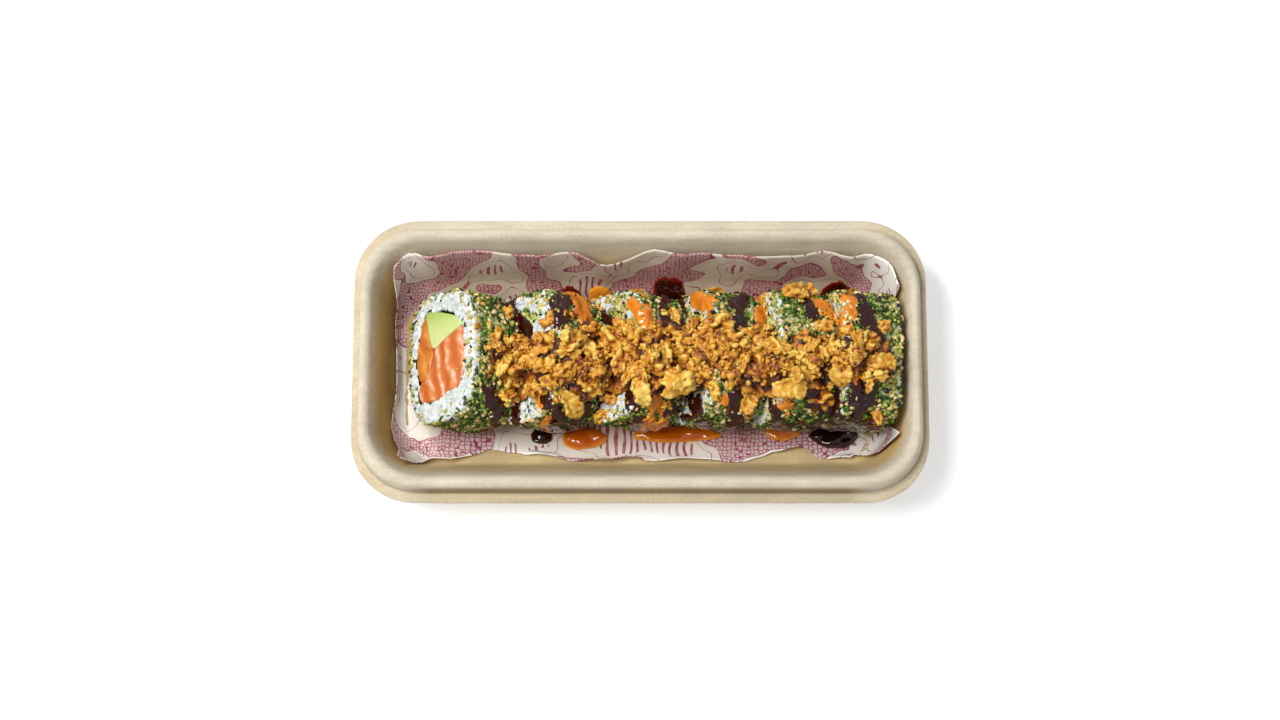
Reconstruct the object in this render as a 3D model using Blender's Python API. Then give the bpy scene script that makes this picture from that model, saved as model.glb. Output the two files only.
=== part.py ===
"""An uramaki roll in its takeaway tray: six leaning pieces on a paper liner, with sauces and crisp onions.

Blender 4.5, metres, +Z up. The tray stands on z = 0, centred on the origin, with its long side along X.
"""

import math
import random

import bmesh
import bpy
from mathutils import Matrix, Vector
from mathutils.bvhtree import BVHTree

MM = 0.001

# Tray of moulded fibre
TRAY_LENGTH = 223.2 * MM
TRAY_WIDTH = 113.2 * MM
TRAY_WALL = 1.2 * MM
CREST_HEIGHT = 38.0 * MM
FLOOR_TOP = TRAY_WALL
ARC_STEPS = 6
# From the flange inwards: inset at the ends, inset at the long sides, height and corner radius
TRAY_STEPS = (
    (0.0 * MM, 0.0 * MM, CREST_HEIGHT - 7.0 * MM, 25.0 * MM),
    (2.5 * MM, 4.3 * MM, CREST_HEIGHT - 7.0 * MM, 23.0 * MM),
    (3.0 * MM, 5.0 * MM, CREST_HEIGHT - 1.5 * MM, 22.5 * MM),
    (4.6 * MM, 7.0 * MM, CREST_HEIGHT, 21.5 * MM),
    (6.8 * MM, 9.3 * MM, CREST_HEIGHT - 1.2 * MM, 20.5 * MM),
    (8.0 * MM, 10.8 * MM, CREST_HEIGHT - 4.0 * MM, 20.0 * MM),
    (14.0 * MM, 19.5 * MM, 6.5 * MM, 16.0 * MM),
    (16.0 * MM, 21.5 * MM, 2.8 * MM, 14.0 * MM),
    (19.0 * MM, 24.0 * MM, FLOOR_TOP, 12.0 * MM),
)
FIRST_INSIDE_STEP = 5

# Liner of greaseproof paper
PAPER = 0.4 * MM
PAPER_LIFT = 0.35 * MM
PAPER_LONG_STEPS = 15
PAPER_SHORT_STEPS = 3
PAPER_ARC_STEPS = 4
# Height of the paper's edge on the far wall, at places along X, in millimetres
FAR_EDGE = ((-99, 33), (-90, 31), (-25, 31), (-12, 25), (6, 32), (20, 32), (34, 29), (60, 31), (80, 31),
            (103, 33))
# How far the paper reaches towards the viewer, at places along X
NEAR_EDGE = ((-98, 41), (-86, 36.8), (-73, 36.8), (-66, 32), (-59, 29.3), (-50, 30.7), (-37, 33.6),
             (-13, 36.8), (5, 35), (41, 35), (54, 30.5), (64, 28.5), (73, 34), (89, 35), (102, 31))
# How far it reaches to the left and to the right, at places along Y
LEFT_EDGE = ((-41, -95), (-22, -98.3), (39, -98.3))
RIGHT_EDGE = ((-31, 102), (-19, 97.5), (-8, 95.5), (14, 95.5), (33, 103))
PAPER_WAVE = 1.6 * MM
SHEET_STEPS = 300

# Pieces of the roll, from the left: each leans with its top to the right, its cut face up and to the left
LEAN = (44.0, 44.0, 41.5, 31.0, 22.0, 19.0)
PIECE_WIDTH = (51.5, 50.8, 50.2, 50.6, 51.0, 51.4)
PIECE_HEIGHT = 38.0 * MM
PIECE_THICKNESS = 23.0 * MM
PIECE_GAP = 0.8 * MM
FIRST_PIECE_X = -90.1 * MM
ROLL_Y = 1.2 * MM
REST_HEIGHT = FLOOR_TOP + PAPER_LIFT + PAPER + 0.3 * MM
SQUARENESS = 3.5
EDGE_ROUND = 1.4 * MM
UNEVEN = 0.013

# Filling at the cut, as (height up the piece, distance across it) in millimetres
AVOCADO = ((8.9, 18.7), (11.9, 19.1), (17.7, 17.9), (24.4, 15.8), (28.9, 13.4), (30.8, 11.3),
           (27.8, 9.9), (20.4, 7.0), (14.5, 3.9), (13.1, 4.5), (11.5, 8.5))
SALMON = ((14.2, 3.2), (20.6, 6.5), (28.0, 9.3), (30.9, 10.6), (31.9, 6.5), (32.9, 0.0), (31.5, -8.0),
          (29.2, -13.4), (23.4, -14.0), (19.6, -16.4), (7.6, -16.9), (5.7, -12.6), (6.7, -8.6), (12.4, -5.0))
SALMON_EDGE = ((8.5, 17.8), (11.1, 8.6), (12.7, 4.3), (13.8, 3.2), (12.0, -5.0), (6.4, -8.2), (4.4, -2.6),
               (4.6, 3.9), (6.1, 10.8))
WRAP = ((7.9, 19.1), (11.8, 19.7), (17.9, 18.5), (24.7, 16.4), (29.3, 13.9), (31.7, 11.2), (32.6, 6.5),
        (33.5, 0.0), (32.1, -8.3), (29.7, -13.9), (23.8, -14.6), (19.9, -17.1), (7.0, -17.6), (5.2, -12.6),
        (5.9, -8.5), (3.8, -2.7), (4.0, 4.0), (5.5, 11.0))
NORI = 0.5 * MM
JOIN_GAP = 0.3 * MM
OUTER_STATIONS = 22

# Toasted and black sesame on the coat, and sauce that has run over it
SEED_SIZE = (1.5 * MM, 0.9 * MM, 0.8 * MM)
SEEDS_EACH = 8
SEED_ROWS = (0.12, 0.51, 0.88)
DRIZZLE_ROWS = (0.33, 0.69)
DRIZZLE_WIDTH = 1.9 * MM
DRIZZLE_HEIGHT = 1.1 * MM
DRIZZLE_SINK = 0.7 * MM
DRIZZLE_FLAT = 0.6
CLEAR_OF_HEAP = 21.0 * MM

# Pools of sauce on the paper: from x, to x, nearest and farthest y, and depth, in millimetres
SOY_POOLS = ((-33.0, -22.4, 27.0, 37.0, 1.6), (3.5, 19.2, 28.0, 39.5, 2.4),
             (52.5, 62.0, 27.0, 36.5, 1.6), (70.5, 85.0, 28.0, 38.0, 2.2),
             (-44.0, -33.6, -28.2, -19.0, 1.5), (65.4, 88.0, -29.6, -19.0, 2.2))
CHILLI_POOLS = ((-21.6, -10.0, 27.0, 37.0, 1.8), (20.3, 37.0, 27.0, 36.5, 1.4),
                (-32.8, -11.8, -30.4, -19.0, 2.0), (-7.0, 35.0, -27.4, -19.0, 1.6),
                (47.8, 64.6, -26.6, -19.0, 1.5))
POOL_STATIONS = 10
POOL_LIFT = 0.25 * MM
# Lobes round a pool's edge: depth, number, and how far they turn for each metre along the tray
POOL_LOBES = (0.08, 3, 1000)
# Where no paper lies under a pool's edge, the edge moves in by this factor
POOL_EDGE_STEP = 0.98

# Heap of crisp fried onions along the top of the roll
HEAP_FROM = -57.0 * MM
HEAP_TO = 97.0 * MM
HEAP_Y = -2.5 * MM
HEAP_STATIONS = 32
HEAP_HALF_WIDTH = 14.5 * MM
HEAP_COVER = 3.2 * MM
SMALL_FLAKES = 92
CRISP_THICKNESS = 1.3 * MM
# The heap's top rounds off the roll's saw-tooth over this far each way, and clears its crests by this much
HEAP_SPREAD = 12 * MM
HEAP_CLEARANCE = 2.2 * MM
HEAP_RIPPLE = 1.1 * MM
ABOVE_ALL = 100 * MM
# Large flakes: x, y, length, width, heading and tilt, in millimetres and degrees
LARGE_FLAKES = (
    (-28.5, -18.0, 17.0, 8.0, -48, 24), (57.0, -11.0, 14.0, 8.5, 8, 14), (78.0, -1.0, 12.0, 7.5, 80, 16),
    (0.5, -17.0, 12.0, 7.0, -58, 22), (12.0, -11.5, 9.5, 7.5, 20, 14), (41.5, -18.0, 9.5, 6.0, 76, 26),
    (-51.0, 6.0, 10.0, 4.5, 58, 10), (-46.5, -6.0, 13.0, 5.0, 72, 12), (-33.0, -6.5, 8.0, 7.5, 10, 10),
    (33.0, -12.0, 14.0, 4.0, 52, 12), (13.5, 8.5, 8.5, 3.8, 84, 14), (66.0, 9.5, 8.0, 3.6, 8, 12),
    (-22.0, 10.5, 12.0, 3.2, 36, 12), (92.5, -6.0, 9.0, 5.5, 20, 18),
)


def material(name, colour, roughness):
    """A Principled material of one colour."""
    new = bpy.data.materials.new(name)
    new.use_nodes = True
    shader = new.node_tree.nodes["Principled BSDF"]
    shader.inputs["Base Color"].default_value = (*colour, 1.0)
    shader.inputs["Roughness"].default_value = roughness
    return new


def add_object(name, bm, finish, parent=None):
    """Turns the mesh into a named, smooth-shaded object."""
    mesh = bpy.data.meshes.new(name)
    bm.to_mesh(mesh)
    bm.free()
    mesh.shade_smooth()
    mesh.set_sharp_from_angle(angle=math.radians(40))
    obj = bpy.data.objects.new(name, mesh)
    obj.parent = parent
    if finish:
        mesh.materials.append(finish)
    bpy.context.scene.collection.objects.link(obj)
    return obj


def loft(bm, rings):
    """Joins rings of equal length, outer ring first, with faces that look upwards."""
    rows = [[bm.verts.new(point) for point in ring] for ring in rings]
    for low, high in zip(rows, rows[1:]):
        for i, vert in enumerate(low):
            j = (i + 1) % len(low)
            bm.faces.new((vert, low[j], high[j], high[i]))
    return rows


def between(table, x):
    """Reads a table of (place, value) rows, in millimetres, by straight lines between its rows."""
    if x <= table[0][0]:
        return table[0][1]
    for (x0, y0), (x1, y1) in zip(table, table[1:]):
        if x <= x1:
            return y0 + (y1 - y0) * (x - x0) / (x1 - x0)
    return table[-1][1]


def apply_modifiers(obj):
    """Bakes an object's modifiers into its mesh."""
    bpy.context.view_layer.update()
    evaluated = obj.evaluated_get(bpy.context.evaluated_depsgraph_get())
    baked = bpy.data.meshes.new_from_object(evaluated)
    obj.modifiers.clear()
    obj.data = baked


def fuse(obj, bits):
    """Joins many small closed bodies to one object by a single Boolean union."""
    collection = bpy.data.collections.new(obj.name + "_bits")
    bpy.context.scene.collection.children.link(collection)
    for bit in bits:
        bpy.context.scene.collection.objects.unlink(bit)
        collection.objects.link(bit)
    union = obj.modifiers.new("fused bits", "BOOLEAN")
    union.operation = "UNION"
    union.operand_type = "COLLECTION"
    union.collection = collection
    union.solver = "EXACT"
    apply_modifiers(obj)
    for bit in bits:
        bpy.data.objects.remove(bit)
    bpy.data.collections.remove(collection)


def subtract(obj, collection):
    """Cuts an object by every body of a collection."""
    cut = obj.modifiers.new("fit to the pieces", "BOOLEAN")
    cut.operation = "DIFFERENCE"
    cut.operand_type = "COLLECTION"
    cut.collection = collection
    cut.solver = "EXACT"
    apply_modifiers(obj)


def keep_largest_body(obj):
    """Drops the loose scraps that a cut leaves beside the main body."""
    bm = bmesh.new()
    bm.from_mesh(obj.data)
    bodies = []
    waiting = set(bm.verts)
    while waiting:
        body = {waiting.pop()}
        edge_of_body = set(body)
        while edge_of_body:
            edge_of_body = {e.other_vert(v) for v in edge_of_body for e in v.link_edges} - body
            body |= edge_of_body
        waiting -= body
        bodies.append(body)
    largest = max(bodies, key=len)
    scraps = [vert for vert in bm.verts if vert not in largest]
    bmesh.ops.delete(bm, geom=scraps, context="VERTS")
    bm.to_mesh(obj.data)
    bm.free()


def world_tree(obj):
    """Search tree of an object's surface, in world space."""
    bpy.context.view_layer.update()
    place = obj.matrix_world
    points = [place @ vert.co for vert in obj.data.vertices]
    return BVHTree.FromPolygons(points, [tuple(face.vertices) for face in obj.data.polygons])


# Tray

def rounded_ring(step, arc_steps, long_steps=1, short_steps=1):
    """Points round the tray at one step of its profile, anticlockwise from the right-hand end."""
    inset_x, inset_y, height, radius = step
    half_x = TRAY_LENGTH / 2 - inset_x
    half_y = TRAY_WIDTH / 2 - inset_y
    corners = ((1, 1), (-1, 1), (-1, -1), (1, -1))
    points = []
    for quarter, (sign_x, sign_y) in enumerate(corners):
        centre = Vector((sign_x * (half_x - radius), sign_y * (half_y - radius), height))
        if points:
            steps = long_steps if quarter % 2 else short_steps
            add_straight(points, centre + radius * quarter_direction(quarter), steps)
        for i in range(arc_steps + 1):
            points.append(centre + radius * quarter_direction(quarter + i / arc_steps))
    add_straight(points, points[0], short_steps)
    return points


def quarter_direction(quarters):
    """Level direction at a number of quarter turns from +X."""
    angle = quarters * math.pi / 2
    return Vector((math.cos(angle), math.sin(angle), 0))


def add_straight(points, target, steps):
    """Adds the points between the last one and the target."""
    start = points[-1].copy()
    for i in range(1, steps):
        points.append(start.lerp(target, i / steps))


def build_tray():
    bm = bmesh.new()
    rows = loft(bm, [rounded_ring(step, ARC_STEPS) for step in TRAY_STEPS])
    bm.faces.new(rows[-1])
    tray = add_object("tray", bm, material("moulded fibre", (0.62, 0.52, 0.36), 0.85))
    wall = tray.modifiers.new("wall", "SOLIDIFY")
    wall.thickness = TRAY_WALL
    wall.offset = -1
    wall.use_even_offset = True
    return tray


# Paper liner

def in_sheet(point):
    """Whether a place on the tray's inside is covered by the sheet."""
    x, y = point.x / MM, point.y / MM
    if not between(LEFT_EDGE, y) < x < between(RIGHT_EDGE, y):
        return False
    if y > 0:
        return point.z < between(FAR_EDGE, x) * MM
    return -y < between(NEAR_EDGE, x)


def point_at_distance(path, distance):
    """Place on a path, and the direction that leaves its surface there."""
    for low, high in zip(path, path[1:]):
        run = (high - low).length
        if distance <= run or high is path[-1]:
            along = (high - low).normalized()
            level = Vector((along.x, along.y, 0)).normalized()
            away = Vector((0, 0, 1)) * along.dot(level) - level * along.z
            return low + along * distance, away
        distance -= run
    return path[-1], Vector((0, 0, 1))


def paper_paths():
    """Paths over the tray's inside, from its middle line out to the top of the wall."""
    inside = [rounded_ring(step, PAPER_ARC_STEPS, PAPER_LONG_STEPS, PAPER_SHORT_STEPS)
              for step in reversed(TRAY_STEPS[FIRST_INSIDE_STEP:])]
    spine_half = TRAY_LENGTH / 2 - TRAY_STEPS[-1][0] - TRAY_WIDTH / 2 + TRAY_STEPS[-1][1]
    paths = []
    for column in zip(*inside):
        middle_x = max(-spine_half, min(spine_half, column[0].x))
        paths.append([Vector((middle_x, 0, FLOOR_TOP)), *column])
    return paths


def paper_reach(path):
    """Distance that the paper covers on one path."""
    length = sum((high - low).length for low, high in zip(path, path[1:]))
    for i in range(1, SHEET_STEPS):
        place, _ = point_at_distance(path, length * i / SHEET_STEPS)
        if not in_sheet(place):
            return length * (i - 1) / SHEET_STEPS
    return length


def build_paper():
    bm = bmesh.new()
    rings = []
    for row in range(6):
        ring = []
        for number, path in enumerate(paper_paths()):
            reach = paper_reach(path)
            floor = min((path[1] - path[0]).length, 0.82 * reach)
            share = max(0, row - 2) / 3
            distance = floor * row / 2 if row < 2 else floor + (reach - floor) * share
            point, away = point_at_distance(path, distance)
            wave = PAPER_WAVE * share ** 1.5 * (1 + math.sin(2.1 * number + 0.8 * math.sin(1.3 * number)))
            ring.append(point + away * (PAPER_LIFT + PAPER + wave))
        rings.append(ring)
    loft(bm, reversed(rings))
    bmesh.ops.remove_doubles(bm, verts=bm.verts, dist=0.05 * MM)
    bmesh.ops.triangulate(bm, faces=bm.faces)
    surface = BVHTree.FromBMesh(bm)
    paper = add_object("paper_liner", bm, material("greaseproof paper", (0.80, 0.76, 0.70), 0.6))
    sheet = paper.modifiers.new("sheet", "SOLIDIFY")
    sheet.thickness = PAPER
    sheet.offset = -1
    return surface


# Roll

def place_pieces():
    """Empties that lean, each piece against the next; a piece's x runs through it and its z up it."""
    places = []
    left_edge = FIRST_PIECE_X
    for number, degrees in enumerate(LEAN, start=1):
        lean = math.radians(degrees)
        place = bpy.data.objects.new(f"place_{number}", None)
        place.location = (left_edge, ROLL_Y, REST_HEIGHT + PIECE_THICKNESS * math.sin(lean))
        place.rotation_euler = (0, lean, 0)
        bpy.context.scene.collection.objects.link(place)
        places.append(place)
        if number < len(LEAN):
            left_edge += next_piece_step(lean, math.radians(LEAN[number]))
    bpy.context.view_layer.update()
    return places


def next_piece_step(lean, next_lean):
    """Distance along X from one piece's lower left edge to the next one's."""
    corner_x = PIECE_THICKNESS * math.cos(lean) + PIECE_HEIGHT * math.sin(lean)
    corner_height = PIECE_HEIGHT * math.cos(lean)
    foot = (PIECE_THICKNESS + PIECE_GAP - corner_height * math.sin(next_lean)) / math.cos(next_lean)
    return corner_x + foot - PIECE_THICKNESS * math.cos(next_lean)


def section_point(angle, half_width, inset=0.0):
    """Point of the piece's squarish outline, as (across, up) from the piece's lower edge."""
    across, up = math.cos(angle), math.sin(angle)
    half_height = PIECE_HEIGHT / 2
    reach = (abs(across / (half_width - inset)) ** SQUARENESS + abs(up / (half_height - inset)) ** SQUARENESS)
    radius = reach ** (-1 / SQUARENESS)
    return radius * across, half_height + radius * up


def grow(outline, distance):
    """Moves each corner of a closed outline outwards, so that its sides move by the distance."""
    grown = []
    for i, point in enumerate(outline):
        before = Vector(outline[i - 1])
        here = Vector(point)
        after = Vector(outline[(i + 1) % len(outline)])
        first = (here - before).normalized()
        second = (after - here).normalized()
        side = Vector((-first.y - second.y, first.x + second.x)).normalized()
        stretch = max(0.5, side.dot(Vector((-first.y, first.x))))
        grown.append(here + side * (distance / stretch))
    return grown


def wrap_outline(distance):
    """Outline of the nori's inner face grown by a distance, as (across, up) in metres."""
    outline = [Vector((across * MM, up * MM)) for up, across in reversed(WRAP)]
    return grow(outline, distance)


def ray_radius(outline, angle):
    """Distance from the piece's centre to a closed outline in one direction."""
    centre = Vector((0, PIECE_HEIGHT / 2))
    way = Vector((math.cos(angle), math.sin(angle)))
    best = 0.0
    for i, start in enumerate(outline):
        a = start - centre
        b = outline[(i + 1) % len(outline)] - centre
        side = b - a
        across = way.cross(side)
        if abs(across) < 1e-12:
            continue
        distance = a.cross(side) / across
        share = a.cross(way) / across
        if distance > best and -1e-6 <= share <= 1 + 1e-6:
            best = distance
    return best


def rice_angles(hole):
    """Directions of the rice's stations: the hole's own corners, and even steps between them."""
    centre = Vector((0, PIECE_HEIGHT / 2))
    turn = 2 * math.pi
    corners = [math.atan2((p - centre).y, (p - centre).x) % turn for p in hole]
    even = [turn * i / OUTER_STATIONS for i in range(OUTER_STATIONS)]
    near = turn / OUTER_STATIONS * 0.45
    extra = [a for a in even if all(abs((a - c + math.pi) % turn - math.pi) > near for c in corners)]
    return sorted(corners + extra)


def build_rice(number, place, finish):
    """Ring of pressed rice round the nori, with soft cut edges and an uneven side."""
    bm = bmesh.new()
    hole = wrap_outline(NORI + JOIN_GAP)
    half_width = PIECE_WIDTH[number - 1] * MM / 2
    rows = ((0.0, EDGE_ROUND), (EDGE_ROUND, 0.0), (PIECE_THICKNESS / 2, 0.0),
            (PIECE_THICKNESS - EDGE_ROUND, 0.0), (PIECE_THICKNESS, EDGE_ROUND))
    angles = rice_angles(hole)
    rings = []
    for row, (through, inset) in enumerate(rows):
        ring = []
        for angle in angles:
            ripple = math.sin(3 * angle + number) + math.sin(7 * angle + 2.3 * number + 1.1 * row)
            across, up = section_point(angle, half_width, inset)
            pull = 1 - UNEVEN * (1 + ripple / 2)
            up = PIECE_HEIGHT / 2 + (up - PIECE_HEIGHT / 2) * pull
            ring.append(Vector((through, across * pull, up)))
        rings.append(ring)
    for through in (PIECE_THICKNESS, 0.0):
        ring = []
        for angle in angles:
            radius = ray_radius(hole, angle)
            up = PIECE_HEIGHT / 2 + radius * math.sin(angle)
            ring.append(Vector((through, radius * math.cos(angle), up)))
        rings.append(ring)
    loft(bm, rings + rings[:1])
    bmesh.ops.remove_doubles(bm, verts=bm.verts, dist=0.01 * MM)
    bmesh.ops.recalc_face_normals(bm, faces=bm.faces)
    return add_object(f"rice_{number}", bm, finish, place)


def build_prism(name, outline, place, finish, hole=None):
    """A filling's outline, or the ring between two like outlines, carried through the piece."""
    bm = bmesh.new()
    start, end = 0.2 * MM, PIECE_THICKNESS - 0.2 * MM
    rings = [[Vector((through, across, up)) for across, up in outline] for through in (start, end)]
    if hole:
        rings += [[Vector((through, across, up)) for across, up in hole] for through in (end, start)]
        loft(bm, rings + rings[:1])
        bmesh.ops.remove_doubles(bm, verts=bm.verts, dist=0.01 * MM)
    else:
        rows = loft(bm, rings)
        bm.faces.new(rows[0])
        bm.faces.new(rows[1])
    bmesh.ops.recalc_face_normals(bm, faces=bm.faces)
    return add_object(name, bm, finish, place)


def in_metres(outline):
    """An outline of the filling as (across, up) in metres."""
    return [Vector((across * MM, up * MM)) for up, across in outline]


def add_seed(place, centre, direction, spin):
    """One sesame seed, half sunk, lying flat on the coat."""
    bm = bmesh.new()
    bmesh.ops.create_icosphere(bm, subdivisions=1, radius=1.0)
    lie = direction.to_track_quat("Z", "X").to_matrix().to_4x4()
    shape = Matrix.Diagonal((*SEED_SIZE, 1.0))
    bm.transform(Matrix.Translation(centre) @ lie @ Matrix.Rotation(spin, 4, "Z") @ shape)
    return add_object("seed", bm, None, place)


def coat_point(number, through, angle):
    """Point on a piece's coated side, and the direction that leaves it."""
    half_width = PIECE_WIDTH[number - 1] * MM / 2
    turn = 0.02
    across, up = section_point(angle, half_width)
    before = section_point(angle - turn, half_width)
    after = section_point(angle + turn, half_width)
    away = Vector((0, after[1] - before[1], before[0] - after[0])).normalized()
    pull = 1 - UNEVEN
    return Vector((through, across * pull, PIECE_HEIGHT / 2 + (up - PIECE_HEIGHT / 2) * pull)), away


def heap_side_angle(number, side):
    """Direction in the section at which the piece's top comes clear of the heap, towards one side."""
    half_width = PIECE_WIDTH[number - 1] * MM / 2
    angle = math.pi / 2
    while abs(section_point(angle, half_width)[0]) < CLEAR_OF_HEAP:
        angle -= side * 0.01
    return angle


def add_drizzle(number, place, through, side, drop):
    """A ridge of sauce that has run down one side of a piece."""
    start = heap_side_angle(number, side)
    sections = []
    steps = 4
    for i in range(steps + 1):
        angle = start - side * drop * i / steps
        centre, away = coat_point(number, through, angle)
        taper = math.sin(math.pi * (0.12 + 0.76 * i / steps))
        width = Vector((DRIZZLE_WIDTH * taper, 0, 0))
        rise = away * DRIZZLE_HEIGHT * taper
        foot = away * DRIZZLE_SINK
        sections.append([centre - width - foot, centre - width * DRIZZLE_FLAT + rise,
                         centre + width * DRIZZLE_FLAT + rise, centre + width - foot])
    bm = bmesh.new()
    rows = loft(bm, sections)
    bm.faces.new(rows[0])
    bm.faces.new(rows[-1])
    bmesh.ops.recalc_face_normals(bm, faces=bm.faces)
    return add_object("drizzle", bm, None, place)


def build_coat(number, place, rice, chance):
    """Seeds and sauce fused to a piece of rice, on its two sides, clear of the heap and its neighbours."""
    bits = []
    for side in (1, -1):
        for row in DRIZZLE_ROWS:
            through = row * PIECE_THICKNESS + chance.uniform(-0.5, 0.5) * MM
            bits.append(add_drizzle(number, place, through, side, chance.uniform(0.35, 0.62)))
        clear = heap_side_angle(number, side)
        for seed in range(SEEDS_EACH // 2):
            through = PIECE_THICKNESS * SEED_ROWS[seed % 3]
            angle = clear - side * (0.06 + 0.24 * seed + chance.uniform(-0.04, 0.04))
            centre, away = coat_point(number, through, angle)
            bits.append(add_seed(place, centre, away, chance.uniform(0, math.pi)))
    fuse(rice, bits)
    keep_largest_body(rice)


def build_cutters(places):
    """Plain copies of the pieces, a little larger, that fit heap and sauces to the roll."""
    collection = bpy.data.collections.new("cutters")
    bpy.context.scene.collection.children.link(collection)
    growth = 0.5 * MM
    for number, place in enumerate(places, start=1):
        half_width = PIECE_WIDTH[number - 1] * MM / 2
        outline = [section_point(2 * math.pi * i / 24, half_width, -growth) for i in range(24)]
        bm = bmesh.new()
        rings = [[Vector((through, across, up)) for across, up in outline]
                 for through in (-growth, PIECE_THICKNESS + growth)]
        rows = loft(bm, rings)
        bm.faces.new(rows[0])
        bm.faces.new(rows[1])
        bmesh.ops.recalc_face_normals(bm, faces=bm.faces)
        cutter = add_object(f"cutter_{number}", bm, None, place)
        bpy.context.scene.collection.objects.unlink(cutter)
        collection.objects.link(cutter)
        cutter.hide_render = True
        cutter.display_type = "WIRE"
    return collection


# Sauces

def build_pool(name, pool, paper, finish, cutters):
    """A flat pool that lies on the paper and stops at the pieces."""
    x0, x1, y0, y1, depth = (value * MM for value in pool)
    middle = Vector(((x0 + x1) / 2, (y0 + y1) / 2, 0))
    lobe_depth, lobes, lobe_turn = POOL_LOBES
    bm = bmesh.new()
    rings = []
    for share, level in ((1.0, 0.0), (0.75, 0.75), (0.0, 1.0), (0.75, 0.0)):
        ring = []
        for i in range(POOL_STATIONS):
            angle = 2 * math.pi * i / POOL_STATIONS
            wobble = 1 - lobe_depth * (1 + math.sin(lobes * angle + lobe_turn * x0))
            across = share * wobble * math.cos(angle) * (x1 - x0) / 2
            along = share * wobble * math.sin(angle) * (y1 - y0) / 2
            place = middle + Vector((across, along, CREST_HEIGHT))
            ground = paper.ray_cast(place, Vector((0, 0, -1)))[0]
            while ground is None:
                place.y *= POOL_EDGE_STEP
                ground = paper.ray_cast(place, Vector((0, 0, -1)))[0]
            ring.append(ground + Vector((0, 0, JOIN_GAP + POOL_LIFT + depth * level)))
        rings.append(ring)
    top = rings[:3]
    bottom = [rings[0], rings[3], [point - Vector((0, 0, depth)) for point in rings[2]]]
    loft(bm, top)
    loft(bm, bottom)
    bmesh.ops.remove_doubles(bm, verts=bm.verts, dist=0.01 * MM)
    bmesh.ops.triangulate(bm, faces=bm.faces)
    bmesh.ops.recalc_face_normals(bm, faces=bm.faces)
    pool_object = add_object(name, bm, finish)
    subtract(pool_object, cutters)
    keep_largest_body(pool_object)


# Heap of onions

def ground_height(x):
    """Height of the roll's saw-tooth top at a place along X."""
    height = REST_HEIGHT
    left_edge = FIRST_PIECE_X
    for number, degrees in enumerate(LEAN):
        lean = math.radians(degrees)
        tip_x = left_edge + PIECE_HEIGHT * math.sin(lean)
        tip = REST_HEIGHT + PIECE_THICKNESS * math.sin(lean) + PIECE_HEIGHT * math.cos(lean)
        far_x = tip_x + PIECE_THICKNESS * math.cos(lean)
        if tip_x <= x <= far_x:
            height = max(height, tip - (x - tip_x) * math.tan(lean))
        elif left_edge <= x < tip_x:
            height = max(height, tip - (tip_x - x) / math.tan(lean))
        if number + 1 < len(LEAN):
            left_edge += next_piece_step(lean, math.radians(LEAN[number + 1]))
    return height


def heap_top(x):
    """Height of the heap's bare core: it rounds off the saw-tooth below it."""
    spread = [ground_height(x + HEAP_SPREAD * i / 6) for i in range(-6, 7)]
    smooth = sum(spread) / len(spread)
    crest = max(spread[3:-3])
    ends = min(1, (x - HEAP_FROM + 4 * MM) / (14 * MM), (HEAP_TO + 4 * MM - x) / (14 * MM))
    ripple = HEAP_RIPPLE * math.sin(x / (5.3 * MM))
    return max(smooth + HEAP_COVER * ends, crest + HEAP_CLEARANCE) + ripple * ends


def build_heap_core(finish, cutters):
    """The heap's core, its underside cut to the pieces."""
    bm = bmesh.new()
    rings = []
    around = 8
    for i in range(HEAP_STATIONS):
        x = HEAP_FROM + (HEAP_TO - HEAP_FROM) * i / (HEAP_STATIONS - 1)
        ends = math.sin(math.pi * (0.07 + 0.86 * i / (HEAP_STATIONS - 1))) ** 0.45
        half = HEAP_HALF_WIDTH * ends * (1 + 0.12 * math.sin(x / (7 * MM)))
        top = heap_top(x)
        depth = top - min(ground_height(x), ground_height(x + 4 * MM)) + 4 * MM
        centre_y = HEAP_Y + 1.5 * MM * math.sin(x / (13 * MM))
        ring = []
        for j in range(around):
            angle = 2 * math.pi * j / around
            up = math.sin(angle)
            rise = top - depth * (1 - up) / 2
            ring.append(Vector((x, centre_y + half * math.cos(angle), rise)))
        rings.append(ring)
    rows = loft(bm, rings)
    bm.faces.new(rows[0])
    bm.faces.new(rows[-1])
    bmesh.ops.triangulate(bm, faces=bm.faces)
    bmesh.ops.recalc_face_normals(bm, faces=bm.faces)
    core = add_object("crispy_onions", bm, finish)
    subtract(core, cutters)
    keep_largest_body(core)
    return core


def flake_mesh(length, width, thickness, curl):
    """A curled flake, thicker in its middle, as a closed mesh about its own centre."""
    bm = bmesh.new()
    grid = []
    for level in (0.5, -0.5):
        rows = []
        for i in (-1, 0, 1):
            narrow = 1 - 0.35 * abs(i)
            for j in (-1, 1):
                bend = curl * (1 - abs(i))
                place = (i * length / 2, j * narrow * width / 2, level * thickness + bend)
                rows.append(bm.verts.new(place))
        grid.append(rows)
    top, bottom = grid
    for i in (0, 2):
        bm.faces.new((top[i], top[i + 1], top[i + 3], top[i + 2]))
        bm.faces.new((bottom[i], bottom[i + 2], bottom[i + 3], bottom[i + 1]))
    border = (0, 1, 3, 5, 4, 2)
    for here, there in zip(border, border[1:] + border[:1]):
        bm.faces.new((top[here], top[there], bottom[there], bottom[here]))
    bmesh.ops.triangulate(bm, faces=bm.faces)
    bmesh.ops.recalc_face_normals(bm, faces=bm.faces)
    return bm


def touches(bm, trees):
    """Whether a mesh touches any of the surfaces."""
    own = BVHTree.FromBMesh(bm)
    return any(own.overlap(tree) for tree in trees)


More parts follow.
